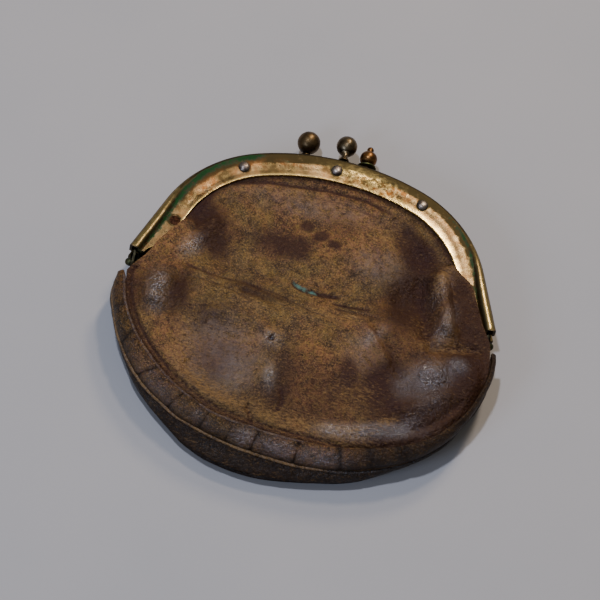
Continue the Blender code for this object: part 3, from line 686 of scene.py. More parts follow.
def makeChannel():
    rows = 24
    half, corner = channel["half"], channel["corner"]

    def place(u, v):
        end = archHalf - channel["trim"]
        s = (u * 2 - 1) * end
        width = channel["endWidth"] + (
            channel["width"] - channel["endWidth"]
        ) * smooth((end - np.abs(s)) / channel["taper"])
        row = np.round(v * rows)
        front = np.clip(row / 9, 0, 1)
        back = np.clip((row - 15) / 9, 0, 1)
        turn = np.radians(90 - 30 * np.clip(row - 9, 0, 6))
        rounded = corner * np.cos(turn)
        out = np.where(
            row <= 9, -width + (width - corner) * front,
            np.where(row >= 15, -corner - (width - corner) * back, rounded - corner)
        )
        level = np.where(
            row <= 9, half,
            np.where(
                row >= 15, -half,
                (half - corner) * np.sign(np.sin(turn)) * (np.abs(np.sin(turn)) > 0.01)
                + corner * np.sin(turn)
            )
        )
        x, y, nx, ny = archAt(s)
        level = level + 0.03 * ripple(x, y, 7.0, 5.0)
        return x + nx * out, y + ny * out, hingeZ + level

    bm, u, v = mappedGrid(360, rows, place)
    obj = finishMesh(
        bm, "middle_leaf_channel", "middle_leaf", channelBrass, ["middle_leaf"]
    )
    modifier(obj, "sheet", "SOLIDIFY", thickness=channel["sheet"] * mm, offset=-1.0)
    modifier(
        obj, "edges", "BEVEL", width=0.08 * mm, segments=2, limit_method="ANGLE",
        angle_limit=math.radians(50)
    )


makeChannel()

# hinge lugs, pins and rivets



def lugOutline(name):  # (distance up the leaf, depth from the hinge plane)
    reach = hardware["lugReach"][name]
    if name == "middle":
        arm = [(reach, 0.8), (reach, -0.8)]
        low, high = -33, 33
    else:
        arm = [(reach, 3.4), (reach, 1.6), (2.6, 1.6)]
        low, high = 28, 108
    angles = np.radians(np.linspace(high, 360 + low, 40))
    return arm + [
        (hardware["eye"] * math.cos(a), hardware["eye"] * math.sin(a)) for a in angles[::-1]
    ]


def makeLugs(name, side, body, material):
    bm = bmesh.new()
    for hand in (-1, 1):
        x = hand * hardware["lugX"][name]
        edges = []
        angles = np.radians(np.linspace(0, 360, 29)[:-1])
        eye = [(hardware["bore"] * math.cos(a), hardware["bore"] * math.sin(a)) for a in angles]
        for loop in (lugOutline(name), eye):
            verts = [bm.verts.new(toWorld(x, y, hingeZ + side * depth)) for y, depth in loop]
            edges += [bm.edges.new(pair) for pair in zip(verts, verts[1:] + verts[:1])]
        bmesh.ops.triangle_fill(bm, use_beauty=True, edges=edges)
    bmesh.ops.recalc_face_normals(bm, faces=bm.faces)
    obj = finishMesh(
        bm, f"{name}_leaf_lugs", body,
        material, smoothAngle=30
    )
    modifier(obj, "sheet", "SOLIDIFY", thickness=hardware["lugSheet"] * mm, offset=0.0)
    modifier(
        obj, "edges", "BEVEL", width=0.14 * mm, segments=3, limit_method="ANGLE",
        angle_limit=math.radians(50)
    )


makeLugs("front", 1, "front_leaf", lugMetal)
makeLugs("back", -1, "root", lugMetal)
makeLugs("middle", 1, "middle_leaf", lugMetal)


def domed(radius, height, base, steps=9):
    angles = [math.pi / 2 * k / (steps - 1) for k in range(steps)]
    return [(radius * math.sin(a) ** 0.9, base + height * math.cos(a)) for a in angles]


def rivetSpot(s):
    return insideArch(
        s, hardware["rivetInset"] + hardware["beadInset"] * float(beadSwell(s)), hingeZ
    )


def makeRivets(name, side, body, replaces, numbers, material, headless=False):
    bm = bmesh.new()
    seat = leaf["flangeTop"]
    for number in numbers:
        s = hardware["rivetArcs"][number - 1]
        if headless:
            head = [
                (0, seat + 0.3), (0.45, seat + 0.26), (0.62, seat + 0.12), (0.95, seat + 0.13),
                (1.25, seat + 0.1),
                    (1.35, seat + 0.02), (hardware["shank"], seat)]
        else:
            covered = side > 0 and number == 5
            radius, height = hardware["coveredHead" if covered else "shownHead"]
            head = domed(radius, height, seat + 0.08) + [
                (radius - 0.04, seat + 0.01), (hardware["shank"], seat)
            ]
        stem = [(hardware["shank"], 1.7), (1.0, 1.66), (0.85, 1.35), (0, 1.3)]
        tilt = (0.03 * math.sin(number * 2.3), 0.03 * math.cos(number * 1.7), side)
        turned(bm, head + stem, rivetSpot(s), tilt, 36)
    return finishMesh(bm, name, body, material, replaces, smoothAngle=60)


makeRivets(
    "front_rivets", 1, "front_leaf", [f"front_rivet_{k}" for k in (2, 3, 4, 5)], (2, 3, 4, 5),
    rivetSteel
)
makeRivets(
    "front_rivet_broken", 1, "front_leaf", ["front_rivet_1"], (1,), rustySteel, headless=True
)
makeRivets(
    "back_rivets", -1, "root", [f"back_rivet_{k}" for k in range(1, 6)], (1, 2, 3, 4, 5), rivetSteel
)


def makeMiddleRivets():
    bm = bmesh.new()
    for s in hardware["middleArcs"]:
        half = [(0, 1.28), (0.5, 1.26), (0.78, 1.16), (0.85, 1.03), (hardware["shank"], 1.02)]
        profile = half + [(radius, -height) for radius, height in reversed(half)]
        turned(bm, profile, rivetSpot(s), (0, 0, 1), 28)
    finishMesh(
        bm, "middle_rivets", "middle_leaf", rivetSteel,
        [f"middle_rivet_{k}" for k in range(1, 5)], smoothAngle=60
    )


def makePins():
    outer = hardware["lugX"]["front"] + hardware["lugSheet"] / 2 + 0.1
    inner = hardware["lugX"]["back"] - hardware["lugSheet"] / 2 - 0.1
    bm = bmesh.new()
    for hand in (-1, 1):
        profile = domed(hardware["pinHead"], 1.3, outer + 0.1) + [
            (hardware["pinHead"] - 0.05, outer), (hardware["pin"], outer)
        ]
        profile += [
            (hardware["pin"], inner), (1.15, inner - 0.05), (1.0, inner - 0.45), (0, inner - 0.5)
        ]
        turned(bm, profile, (0, 0, hingeZ), (hand, 0, 0), 36)
    finishMesh(
        bm, "hinge_pins", "root", pinMetal, ["hinge_pin_left", "hinge_pin_right"],
        smoothAngle=60
    )


makeMiddleRivets()
makePins()
print("hinges and rivets made")

# knobs

knobs = {
    "front": {"ball": (0.2, 45.9, hingeZ + 0.8), "radius": 2.6, "foot": (0.2, 40.15, hingeZ + 2.5)},
    "back": {
        "ball": (-9.2, 45.3, hingeZ - 0.6), "radius": 2.85, "foot": (-9.2, 39.45, hingeZ - 2.5)
    },
    "finial": {"foot": (6.1, 39.5, hingeZ)},
}


def makeBallKnob(name, body, material):
    facts = knobs[name]
    ball, foot = Vector(facts["ball"]), Vector(facts["foot"])
    axis = (ball - foot).normalized()
    reach = (ball - foot).length
    radius = facts["radius"]
    bm = bmesh.new()
    turned(
        bm, [(radius * math.sin(a), radius * math.cos(a)) for a in np.linspace(0, math.pi, 33)],
        ball, axis, 56
    )
    for vert in bm.verts:
        spot = vert.co / mm
        vert.co += (vert.co - toWorld(*ball)).normalized() * 0.035 * mm * noise.noise(spot / 1.1)
    finishMesh(bm, f"{name}_knob_ball", body, material, [f"{name}_ball"])
    neck = reach - radius
    profile = [
        (0, neck - 0.02), (1.15, neck - 0.12), (1.2, neck - 0.28), (0.95, neck - 0.45),
        (0.78, neck * 0.6),
        (0.78, 1.0), (0.95, 0.75), (1.28, 0.6), (1.34, 0.42), (1.28, 0.0), (0, 0),
    ]
    bm = bmesh.new()
    turned(bm, profile, foot, axis, 40)
    finishMesh(
        bm, f"{name}_knob_stem", body, material, [f"{name}_ball_stem"], smoothAngle=50
    )


def makeFinial():
    profile = [
        (0, 8.2), (0.4, 8.12), (0.72, 7.85), (0.86, 7.45), (0.8, 7.05), (0.72, 6.82), (0.8, 6.68),
        (1.15, 6.5),
        (1.55, 6.22), (1.88, 5.85), (2.07, 5.4), (2.15, 4.85), (2.12, 4.35), (1.98, 3.9),
        (1.7, 3.5), (1.3, 3.22),
        (1.05, 3.1), (1.0, 2.9), (1.0, 0.0), (0, 0),
    ]
    bm = bmesh.new()
    turned(bm, profile, knobs["finial"]["foot"], (0, 1, 0), 48)
    finishMesh(
        bm, "middle_finial_turned", "middle_leaf", finialBrass, ["middle_finial"],
        smoothAngle=60
    )
    ring = [
        (1.08, 2.7), (1.4, 2.72), (1.8, 2.66), (2.15, 2.5), (2.36, 2.3), (2.4, 2.12), (2.32, 1.96),
        (2.1, 1.9), (1.08, 1.9), (1.08, 2.7)
    ]
    bm = bmesh.new()
    turned(bm, ring, knobs["finial"]["foot"], (0, 1, 0), 48)
    finishMesh(
        bm, "middle_finial_ring", "middle_leaf", collarBrass, ["middle_finial_collar"],
        smoothAngle=50
    )


makeBallKnob("front", "front_leaf", knobPlated)
makeBallKnob("back", "root", knobBronze)
makeFinial()
for strip in ("front_backing_strip", "back_backing_strip"):
    wear(frame["nodes"][strip], channelBrass)
print("knobs turned")

# leather outlines, each from the left hinge round the pouch's base to the right hinge

seam = splineThrough([
    (-44.9, -5.8), (-44.2, -8.4), (-42.6, -14.2), (-38.9, -20.9), (-34.0, -26.6), (-27.1, -32.4),
    (-17.5, -37.4),
    (-9.0, -39.0), (-6.6, -39.1), (-3.0, -39.7), (5.0, -39.9), (14.3, -39.2), (25.6, -36.3),
    (34.7, -31.4), (40.0, -25.4),
    (42.9, -20.3), (45.2, -12.5), (45.5, -7.4), (45.1, -5.2),
])
lip = splineThrough([
    (-46.2, -5.3), (-47.4, -8.8), (-46.3, -14.0), (-43.6, -21.0), (-39.6, -27.5), (-34.7, -33.0),
    (-27.5, -38.0),
    (-22.9, -40.3), (-10.9, -43.6), (2.0, -44.9), (9.0, -44.8), (19.5, -42.9), (31.5, -37.4),
    (39.5, -29.7),
    (43.6, -21.0), (46.2, -11.5), (46.0, -5.2),
])
belly = splineThrough([
    (-46.2, -4.4), (-47.4, -7.4), (-47.0, -11.6), (-44.4, -17.3), (-41.5, -23.8), (-37.6, -30.4),
    (-33.4, -35.2),
    (-27.7, -40.1), (-21.8, -44.4), (-14.1, -47.4), (-4.7, -48.6), (5.7, -47.5), (18.3, -44.4),
    (24.3, -41.4),
    (30.1, -37.4), (35.7, -32.4), (39.8, -27.6), (42.9, -22.5), (45.3, -17.8), (46.6, -13.1),
    (46.9, -7.8), (46.1, -4.8),
])


def outwards(line, share):  # unit normal in plan, pointing away from the pouch
    x, y = atShare(line, share)
    ahead = atShare(line, np.clip(share + 0.004, 0, 1))
    behind = atShare(line, np.clip(share - 0.004, 0, 1))
    tx, ty = ahead[0] - behind[0], ahead[1] - behind[1]
    length = np.hypot(tx, ty)
    return x, y, ty / length, -tx / length


def discSheet(steps, centre, outline, height):
    # a round sheet: a square grid turned into rings that shrink from the outline to a centre
    angles = np.unwrap(np.arctan2(outline[:, 1] - centre[1], outline[:, 0] - centre[0]))

    def place(u, v):
        a, b = 2 * u - 1, 2 * v - 1
        wide = np.abs(a) > np.abs(b)
        share = np.maximum(np.abs(a), np.abs(b))
        lead = np.where(wide, a, b)
        safe = np.where(np.abs(lead) < 1e-9, 1.0, lead)
        turn = np.where(wide, np.pi / 4 * b / safe, np.pi / 2 - np.pi / 4 * a / safe)
        angle = np.where(lead < 0, turn + np.pi, turn)
        angle = angles[0] + np.mod(angle - angles[0], 2 * np.pi)
        ex, ey, ez = (np.interp(angle, angles, column) for column in outline.T)
        x, y = centre[0] + share * (ex - centre[0]), centre[1] + share * (ey - centre[1])
        place.share = share
        place.x, place.y = x, y
        return x, y, height(x, y, share, ez)

    bm, u, v = mappedGrid(steps, steps, place)
    return bm, place.x, place.y, place.share


archLine = np.array(archAt(np.linspace(-archHalf, archHalf, 300))[:2]).T


def archInset(x, y):  # depth inside the arch's outer edge, and arc length there
    away, share = alongPath(x, y, archLine)
    return away, (share * 2 - 1) * archHalf


# the front panel: one soft piece, tucked under the frame above and drawn over it at the legs

panel = {
    "steps": 208, "centre": (0.0, -4.0), "thickness": 0.95, "thin": 0.42,
    "under": 9.08, "over": 10.62, "seamTop": 10.9, "crown": 2.9, "relief": 2.3,
    "crossRight": 45.2, "crossLeft": 50.2,
    "folds": [
        ([(-33.0, 0.5), (-24.0, -1.2), (-14.0, -2.2), (-4.0, -5.5)], 0.55, -0.16),
        ([(-20.0, -0.5), (-8.0, -3.0), (2.0, -6.5), (10.0, -8.0)], 0.5, -0.16),
        ([(-30.0, -3.0), (-20.0, -4.5), (-12.0, -7.5)], 0.5, -0.13),
        ([(4.0, -5.2), (12.0, -6.0), (20.0, -8.5)], 0.5, -0.13),
        ([(-10.0, 27.2), (2.0, 27.6), (14.0, 25.5)], 0.5, -0.12),
        ([(-26.0, 15.9), (-28.4, 10.8), (-31.2, 6.2), (-36.0, 2.4)], 2.1, 0.7),
        ([(-17.8, -3.9), (-12.0, -4.9), (-7.2, -6.7)], 1.0, -0.32),
        ([(-5.6, 2.7), (-4.2, 1.1), (-2.5, 0.4), (2.0, 0.1), (7.4, 0.6)], 0.75, -0.34),
        ([(-4.5, 1.9), (-2.5, 1.3), (3.0, 1.1), (7.0, 1.6)], 0.7, 0.16),
        ([(5.0, -1.9), (9.0, -1.9), (15.2, -1.0)], 0.6, -0.26),
        ([(6.0, -3.6), (12.0, -3.4), (17.0, -3.0)], 0.6, -0.18),
        ([(28.9, 15.1), (30.8, 9.0), (32.9, 2.4), (34.2, -4.0)], 2.4, 1.35),
        ([(25.0, 13.0), (26.5, 6.0), (28.4, -1.0), (30.0, -6.5)], 2.2, -0.85),
        ([(34.0, 14.5), (36.4, 8.0), (38.0, 1.0), (38.4, -4.0)], 1.5, -0.5),
        ([(29.0, -8.0), (36.0, -6.6), (43.4, -4.2)], 1.7, -0.75),
        ([(12.0, -4.5), (15.5, -7.9), (18.2, -11.8), (22.4, -16.3)], 1.5, 0.5),
        ([(16.0, -5.5), (19.5, -9.5), (22.5, -13.5), (25.5, -18.5)], 1.3, -0.5),
        ([(-34.6, -4.0), (-36.6, -9.2), (-37.2, -14.0)], 2.6, 0.75),
        ([(-30.5, -2.0), (-32.6, -9.5), (-32.0, -16.0)], 2.0, -0.45),
        ([(-39.5, -3.0), (-41.2, -9.0), (-40.0, -15.5)], 1.2, -0.25),
        ([(-24.0, -13.5), (-19.0, -11.2), (-12.0, -12.0), (-7.5, -15.0), (-6.8, -21.0)], 1.5, 0.32),
        ([(-28.5, -24.0), (-26.5, -30.5), (-20.0, -34.5), (-12.0, -36.0)], 1.6, 0.42),
        ([(25.0, -27.5), (32.0, -24.0), (38.5, -18.0)], 1.8, 0.55),
        ([(29.5, -31.0), (36.0, -27.0), (41.0, -20.0)], 1.1, -0.4),
        ([(8.0, -35.6), (16.0, -35.4), (25.0, -33.0)], 1.3, 0.35),
        (
            [(-30.5, 22.8), (-26.0, 26.4), (-17.2, 28.6), (-2.0, 30.4), (8.0, 30.0), (18.0, 27.0)],
            0.7, -0.24
        ),
        ([(16.5, 27.5), (21.5, 24.0), (25.0, 18.5)], 1.2, 0.3),
        ([(-9.0, -34.0), (-7.5, -37.0), (-6.8, -39.0)], 0.7, -0.4),
        ([(-2.5, -27.0), (-1.0, -31.0), (-2.0, -35.0)], 0.8, -0.22),
    ],
    "mounds": [
        ((-24.0, 5.0), (3.5, 5.5), 25, -0.35), ((-30.5, 13.5), (2.4, 4.0), 30, -0.3),
        ((-18.4, -23.6), (9.0, 9.0), 0, -0.75), ((-7.0, -16.3), (1.9, 1.7), 0, 0.32),
        ((-7.0, -16.3), (0.85, 0.75), 0, -0.75), ((-5.5, -26.0), (1.5, 3.2), 10, 0.36),
        ((22.8, 4.8), (3.6, 5.0), 0, -0.9), ((24.2, 18.0), (3.6, 4.0), -20, -0.55),
        ((32.7, -14.6), (4.2, 3.2), 20, 0.75), ((38.4, -11.0), (2.6, 2.6), 0, 0.55),
        ((40.5, -15.5), (2.6, 5.0), -15, 0.5), ((10.0, 12.0), (13.0, 9.0), 0, 0.35),
        ((-13.0, 14.0), (10.0, 8.0), 0, -0.2), ((6.0, -17.0), (9.0, 9.0), 0, 0.3),
    ],
}


def panelOutline():
    points = [insideArch(s, 3.4, panel["under"]) for s in np.linspace(43.6, -49.0, 60)]
    over = panel["over"]
    left = [
        insideArch(-49.8, 5.8, 9.15), insideArch(-50.4, 7.1, 9.7), insideArch(-51.4, 6.95, 10.4),
        insideArch(-53.5, 6.5, over), insideArch(-55.5, 5.9, over), insideArch(-57.6, 5.7, over),
        insideArch(-60.0, 5.1, over),
        (-39.7, 3.4, over), (-40.5, 1.6, over), (-41.3, 0.0, over), (-42.6, -1.8, over),
        (-43.8, -3.6, over), (-44.7, -5.4, over + 0.1),
    ]
    right = [
        (44.9, -3.2, over + 0.2), (44.3, -1.6, over + 0.2), (43.1, 0.4, over + 0.2),
        (41.9, 2.6, over + 0.15),
        (40.9, 5.1, over), (40.0, 7.0, over), (39.0, 9.3, over + 0.1), (38.1, 11.4, over + 0.25),
        (36.7, 13.2, over + 0.2),
        (34.4, 15.0, over), (32.3, 16.9, over), insideArch(46.4, 6.7, over - 0.1),
        insideArch(45.4, 7.15, 10.2),
        insideArch(44.7, 7.1, 9.6), insideArch(44.1, 5.6, 9.15),
    ]
    shares = np.linspace(0.02, 0.98, 120)
    rolled = smooth((shares - 0.53) / 0.14) * (1 - smooth((shares - 0.92) / 0.05))
    sx, sy, nx, ny = outwards(seam, shares)
    below = list(
        zip(sx + nx * 1.7 * rolled, sy + ny * 1.7 * rolled, panel["seamTop"] - 2.3 * rolled)
    )
    return np.array(points + left + below + right + points[:1])


def panelHeight(x, y, share, edge):
    dome = np.clip(1 - (x / 45.5) ** 2 - ((y + 11.5) / 29.0) ** 2, 0, 1)
    low = 10.55 + panel["crown"] * dome ** 0.6
    mix = smooth((y + 9) / 15)
    z = low * (1 - mix) + (9.35 + 0.35 * smooth((20 - y) / 20)) * mix
    z = z + panel["relief"] * (folds(x, y, panel["folds"]) + mounds(x, y, panel["mounds"]))
    z = (
        z + 0.30 * ripple(x, y, 9.0, 4.0) + 0.15 * ripple(x, y, 3.6, 9.0)
        + 0.05 * ripple(x, y, 1.4, 2.0)
    )
    inset, s = archInset(x, y)
    tucked = np.minimum(z, panel["under"] + 3.2 * smooth((inset - 6.9) / 7.0))
    lifted = np.maximum(
        z, panel["over"] + 0.14 * ripple(x, y, 3.0, 6.0) + 0.1 * ripple(x, y, 6.0, 1.0)
    )
    rise = smooth((15.0 - inset) / 7.6) * smooth((y + 6.0) / 9.0)
    over = z + (lifted - z) * rise
    crossing = np.where(s > 0, panel["crossRight"], panel["crossLeft"])
    reach = 0.8 + 7.0 * smooth((inset - 7.2) / 6.0)
    past = smooth((np.abs(s) - crossing) / reach + 0.5)
    past = np.maximum(past, smooth((2.0 - y) / 6.0))
    z = tucked * (1 - past) + over * past
    hold = smooth((share - 0.93) / 0.07)
    z = z * (1 - hold) + edge * hold
    stitched = y < -3.5
    gap = np.hypot(x, y - panel["centre"][1]) * (1 / np.maximum(share, 0.05) - 1)
    z = z - np.where(stitched, 0.42 * bell(gap - 1.35, 0.42) * smooth((26 - x) / 18), 0.0)
    return z + np.where(stitched, 0.18 * bell(gap - 0.6, 0.4) * smooth((26 - x) / 18), 0.0)


def makeFrontPanel():
    bm, x, y, share = discSheet(panel["steps"], panel["centre"], panelOutline(), panelHeight)
    ragged = 0.35 * ripple(x, y, 4.0, 3.0) + 0.2 * ripple(x, y, 1.6, 8.0)
    inset, s = archInset(x, y)
    stainAndShade = mounds(x, y, [
        ((-12.0, 12.4), (7.5, 5.2), -10, 0.6), ((-4.8, 12.2), (3.6, 4.2), 0, 0.45),
        ((-4.8, 19.2), (1.8, 1.6), 0, 0.85), ((-0.7, 17.0), (2.0, 1.5), 20, 0.85),
        ((2.8, 15.4), (1.7, 1.4), 0, 0.85), ((12.8, -20.9), (2.6, 5.0), 10, 0.75),
        ((20.4, -21.6), (3.2, 5.0), 10, 0.7),
        ((25.1, -25.8), (2.0, 1.8), 0, 0.8), ((22.8, 4.8), (4.6, 7.0), 0, 0.25),
        ((24.2, 18.0), (4.0, 4.8), -20, 0.7),
        ((-18.4, -24.6), (8.5, 7.5), 0, 0.38), ((-31.0, -5.0), (3.0, 7.0), 0, 0.15),
        ((-30.0, 16.0), (3.0, 5.0), 0, 0.5),
        ((-7.0, -16.3), (0.9, 0.8), 0, 0.9), ((40.5, -12.0), (4.0, 9.0), 0, 0.45),
    ])
    gap = np.hypot(x, y - panel["centre"][1]) * (1 / np.maximum(share, 0.05) - 1)
    alongSeam = (y < -3.5) * smooth((30 - x) / 16)
    # the seam's groove: a dark seam line, deepened by painted shade
    groove = bell(gap - 1.35, 0.45) * alongSeam
    # painted shade in the crease valleys
    lined = np.abs(
        np.minimum(folds(x, y, [(p, w * 0.8, h) for p, w, h in panel["folds"] if h < 0]), 0)
    )
    # painted shade along the narrow wrinkles
    wrinkles = folds(
        x, y, [(path, w * 0.75, -h) for path, w, h in panel["folds"] if h < 0 and w < 0.9]
    )
    wrinkles = wrinkles * (1 + 1.2 * ragged)
    # painted shadow: the frame's edge casting a soft shadow on the leather just inside it
    frameShadow = smooth((9.2 - inset) / 2.2) * (s > -51) * (s < 44) * 0.5
    # stains plus painted shade: crease valleys, wrinkles, the frame's shadow and the seam groove
    # darken through this attribute
    paint(
        bm, "stainAndShade",
        stainAndShade * (1 + ragged) + 0.45 * lined + 2.6 * wrinkles + frameShadow
        + 0.75 * groove * (1 + 0.5 * ragged)
    )
    ridges = np.maximum(folds(x, y, [feature for feature in panel["folds"] if feature[2] > 0]), 0)
    seamBand = np.where(
        y < -8, bell((1 - share) * 40 - 4.0, 3.5), 0
    ) * smooth((34 - np.abs(x + 4)) / 14)
    band = mounds(x, y, [
        ((34.5, -6.6), (8.5, 1.8), 12, 0.5), ((30.2, 11.5), (1.6, 4.5), -12, 0.55),
        ((14.0, -26.0), (9.0, 5.0), 15, 0.3), ((24.5, -30.2), (3.5, 1.1), 20, 0.6),
        ((-27.0, -18.5), (3.0, 6.0), 30, 0.4), ((27.0, -2.5), (3.0, 5.0), 0, 0.25),
        ((-12.0, -8.5), (6.0, 2.5), 0, 0.35),
        ((14.0, 20.0), (5.0, 4.0), 0, 0.4), ((6.0, -6.0), (10.0, 2.2), 5, 0.45),
    ])
    paint(
        bm, "rubbedAndHighlight",
        0.5 * seamBand + band * (1 + ragged) + 0.12 * ridges
        + 0.12 * smooth((share - 0.985) / 0.012) * smooth((10 - x) / 8)
    )
    gloss = mounds(x, y, [
        ((-36.4, -9.4), (2.4, 5.4), 8, 1.0), ((-31.0, 5.8), (2.2, 3.4), -35, 0.9),
        ((33.1, -0.6), (1.8, 5.0), -12, 1.0), ((30.6, 9.5), (2.0, 5.0), -12, 0.5),
        ((32.7, -15.0), (4.4, 3.4), 20, 0.9), ((31.5, -19.5), (4.5, 5.5), 20, 0.5),
        ((38.2, -11.2), (2.2, 2.2), 0, 0.9), ((26.0, -19.5), (2.4, 4.0), 0, 0.5),
        ((-5.5, -26.0), (1.6, 3.2), 10, 0.9), ((-7.0, -16.3), (2.4, 2.1), 0, 0.8),
        ((22.0, -33.0), (12.0, 1.6), 16, 0.6),
        ((17.0, -9.0), (1.6, 4.5), -30, 0.5), ((-14.0, -27.0), (4.0, 5.0), 0, 0.35),
    ])
    gloss += folds(x, y, [([(8.0, -36.0), (17.0, -35.3), (28.0, -31.5), (31.5, -26.5)], 1.5, 0.9)])
    paint(bm, "burnish", gloss * (1 + 0.6 * ragged))
    paint(bm, "shade", 0.3 * lined + 0.6 * smooth((share - 0.972) / 0.015) * alongSeam
          + (1.45 + 0.8 * ragged) * mounds(x, y, [
        ((42.0, -14.0), (8.0, 17.0), -12, 0.6), ((30.0, -31.0), (16.0, 6.5), 35, 0.6),
        ((22.8, 5.5), (6.0, 10.0), 0, 0.3),
        ((22.0, 19.5), (3.6, 7.0), 45, 0.8), ((37.5, 5.5), (3.6, 10.0), 25, 0.5),
        ((-30.5, -8.5), (2.6, 8.0), 0, 0.4),
        ((27.0, 2.0), (11.0, 16.0), 0, 0.35), ((28.0, -22.0), (9.0, 9.0), 0, 0.4),
        ((-4.0, -35.0), (26.0, 5.0), -5, 0.3),
        ((-27.0, 14.0), (4.5, 8.0), 30, 0.4), ((-13.0, -3.5), (8.0, 2.4), -10, 0.35),
        ((20.5, -22.0), (6.0, 8.0), 10, 0.4),
        ((-28.2, 11.5), (3.0, 8.5), 33, 0.6), ((-36.5, -9.0), (4.5, 8.0), 8, 0.3),
        ((-2.0, -25.0), (4.5, 8.0), 0, 0.35),
        ((9.5, -27.0), (7.0, 6.5), 0, 0.35), ((-23.0, -13.0), (5.0, 5.0), 0, 0.3),
        ((4.0, 21.5), (4.0, 3.0), 0, 0.2),
        ((-18.0, -24.0), (9.0, 8.0), 0, 0.2), ((-42.5, -9.0), (3.0, 8.0), 10, 0.3),
    ]))
    # grey bloom and painted sheen: the round dent low on the left gets a painted greyish sheen, the
    # band under the frame is dusty bloom, the two patches right of centre are grey bloom
    paint(
        bm, "greaseAndSheen",
        mounds(
            x, y,
            [
                ((-18.0, -22.5), (9.0, 8.5), 0, 0.8), ((14.0, 12.5), (6.5, 5.0), 0, 0.5),
                ((15.0, -14.0), (4.5, 6.0), 0, 0.5), ((-4.0, 25.0), (17.0, 3.6), 0, 0.45)
            ]
        ) * (1 + ragged)
    )
    streak = folds(
        x, y, [([(-5.6, 2.9), (-4.5, 1.7), (-2.8, 0.8), (0.5, 0.2), (3.0, 0.1)], 0.6, 1.0)]
    )
    paint(
        bm, "verdigris",
        streak * (1.15 + 0.9 * ripple(x, y, 1.3, 6.0)) * (1 - 0.4 * smooth((x + 2) / 4))
    )
    obj = finishMesh(
        bm, "front_panel", None, panelLeather,
        ["front_panel_upper", "front_panel_lower"]
    )
    weights = obj.vertex_groups.new(name="thickness")
    reach = smooth((9.6 - inset) / 2.0) * ((s < -49.4) | (s > 44.9)) * (y > -2.0)
    for k, value in enumerate(1 - (1 - panel["thin"] / panel["thickness"]) * reach):
        weights.add([k], float(value), "REPLACE")
    modifier(
        obj, "hide", "SOLIDIFY", thickness=panel["thickness"] * mm, offset=-1.0,
        vertex_group="thickness"
    )
    modifier(
        obj, "edges", "BEVEL", width=0.15 * mm, segments=2, limit_method="ANGLE",
        angle_limit=math.radians(60)
    )
    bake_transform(obj)
    return obj


makeFrontPanel()
print("front panel laid")

# gussets, welts, divider and back panel

creases = [  # front gusset: where it is pinched, depth, half width, slant
    ((-44.5, -15.0), 0.25, 1.0, 0.5), ((-40.6, -23.0), 0.3, 0.9, -0.5),
    ((-33.8, -30.2), 0.9, 0.55, 1.5),
    ((-25.6, -36.0), 0.6, 0.5, 0.9), ((-17.8, -39.6), 0.3, 0.5, 0.4),
    ((-11.5, -41.2), 0.22, 0.5, 0.3),
    ((-5.2, -42.0), 0.75, 0.5, 0.3), ((5.0, -42.5), 0.7, 0.45, 0.2),
    ((15.5, -41.4), 0.3, 0.9, -0.4),
    ((22.5, -39.6), 0.25, 0.8, -0.6), ((30.0, -36.0), 0.3, 1.2, -1.0),
    ((41.0, -24.5), 0.3, 1.4, -0.8),
]


def creaseDepth(x, y, v):
    total = np.zeros(np.shape(x))
    for (cx, cy), depth, width, slant in creases:
        _, here = alongPath(np.array(cx), np.array(cy), seam[::8])
        _, share = alongPath(x, y, seam[::8])
        distance = (share - here) * 150.0 + slant * (v - 0.5) * 2
        total += depth * bell(distance, width)
    return total


def makeGusset(name, upper, lower, zUpper, zLower, puff, replaces, creased):
    columns, rows = 560, 26

    def place(u, v):
        ux, uy, unx, uny = outwards(upper, u)
        lx, ly, lnx, lny = outwards(lower, u)
        x, y = ux + (lx - ux) * v, uy + (ly - uy) * v
        nx, ny = unx + (lnx - unx) * v, uny + (lny - uny) * v
        swell = puff * np.clip(np.sin(np.pi * v), 0, 1) ** 0.8
        place.dent = creaseDepth(x, y, v) if creased else 0.25 * bell(
            ripple(u * 150, v, 9.0, 6.0), 0.12
        )
        out = swell * (
            1 - 0.6 * np.clip(place.dent, 0, 1)
        ) - 0.3 * place.dent * np.clip(np.sin(np.pi * v), 0, 1) ** 0.5
        out = out + 0.10 * ripple(u * 150, v * 4, 4.0, 5.0) * np.sin(np.pi * v)
        z = zUpper + (zLower - zUpper) * v + 0.45 * out + 0.12 * ripple(u * 150, v * 2, 11.0, 3.0)
        place.x, place.y = x, y
        return x + nx * out, y + ny * out, z

    bm, u, v = mappedGrid(columns, rows, place)
    x, y = place.x, place.y
    ragged = ripple(u * 150, v * 5, 2.5, 3.0)
    paint(
        bm, "shade",
        (0.1 if creased else 0.7) + 1.9 * place.dent + 0.5 * smooth((v - 0.7) / 0.3) + 0.2 * ragged
        + 0.5 * smooth((x - 12) / 12)
    )
    pads = np.sin(np.pi * v) * (1 - np.clip(place.dent * 2.5, 0, 1))
    lit = (
        bell(x + 30, 6) * 0.5 + bell(x + 8, 3.0) + bell(x - 0.3, 4.0) + bell(x - 11, 5.0)
        + 0.4 * bell(x + 18, 4.0)
    )
    paint(bm, "burnish", pads * (0.1 + 0.7 * lit) * (0.8 + 0.5 * ragged) if creased else 0.1 * pads)
    paint(bm, "rubbedAndHighlight", 0.1 * (0.5 + ragged) * (x > 20) if creased else 0.1 * (1 + ragged))
    # painted highlight: the lit pads get the grey bloom tone as a painted sheen
    paint(bm, "greaseAndSheen", pads * lit * 0.4 if creased else 0 * pads)
    bmesh.ops.recalc_face_normals(bm, faces=bm.faces)
    obj = finishMesh(bm, name, "root", gussetLeather, replaces)
    modifier(obj, "hide", "SOLIDIFY", thickness=0.85 * mm, offset=-1.0)
    return obj


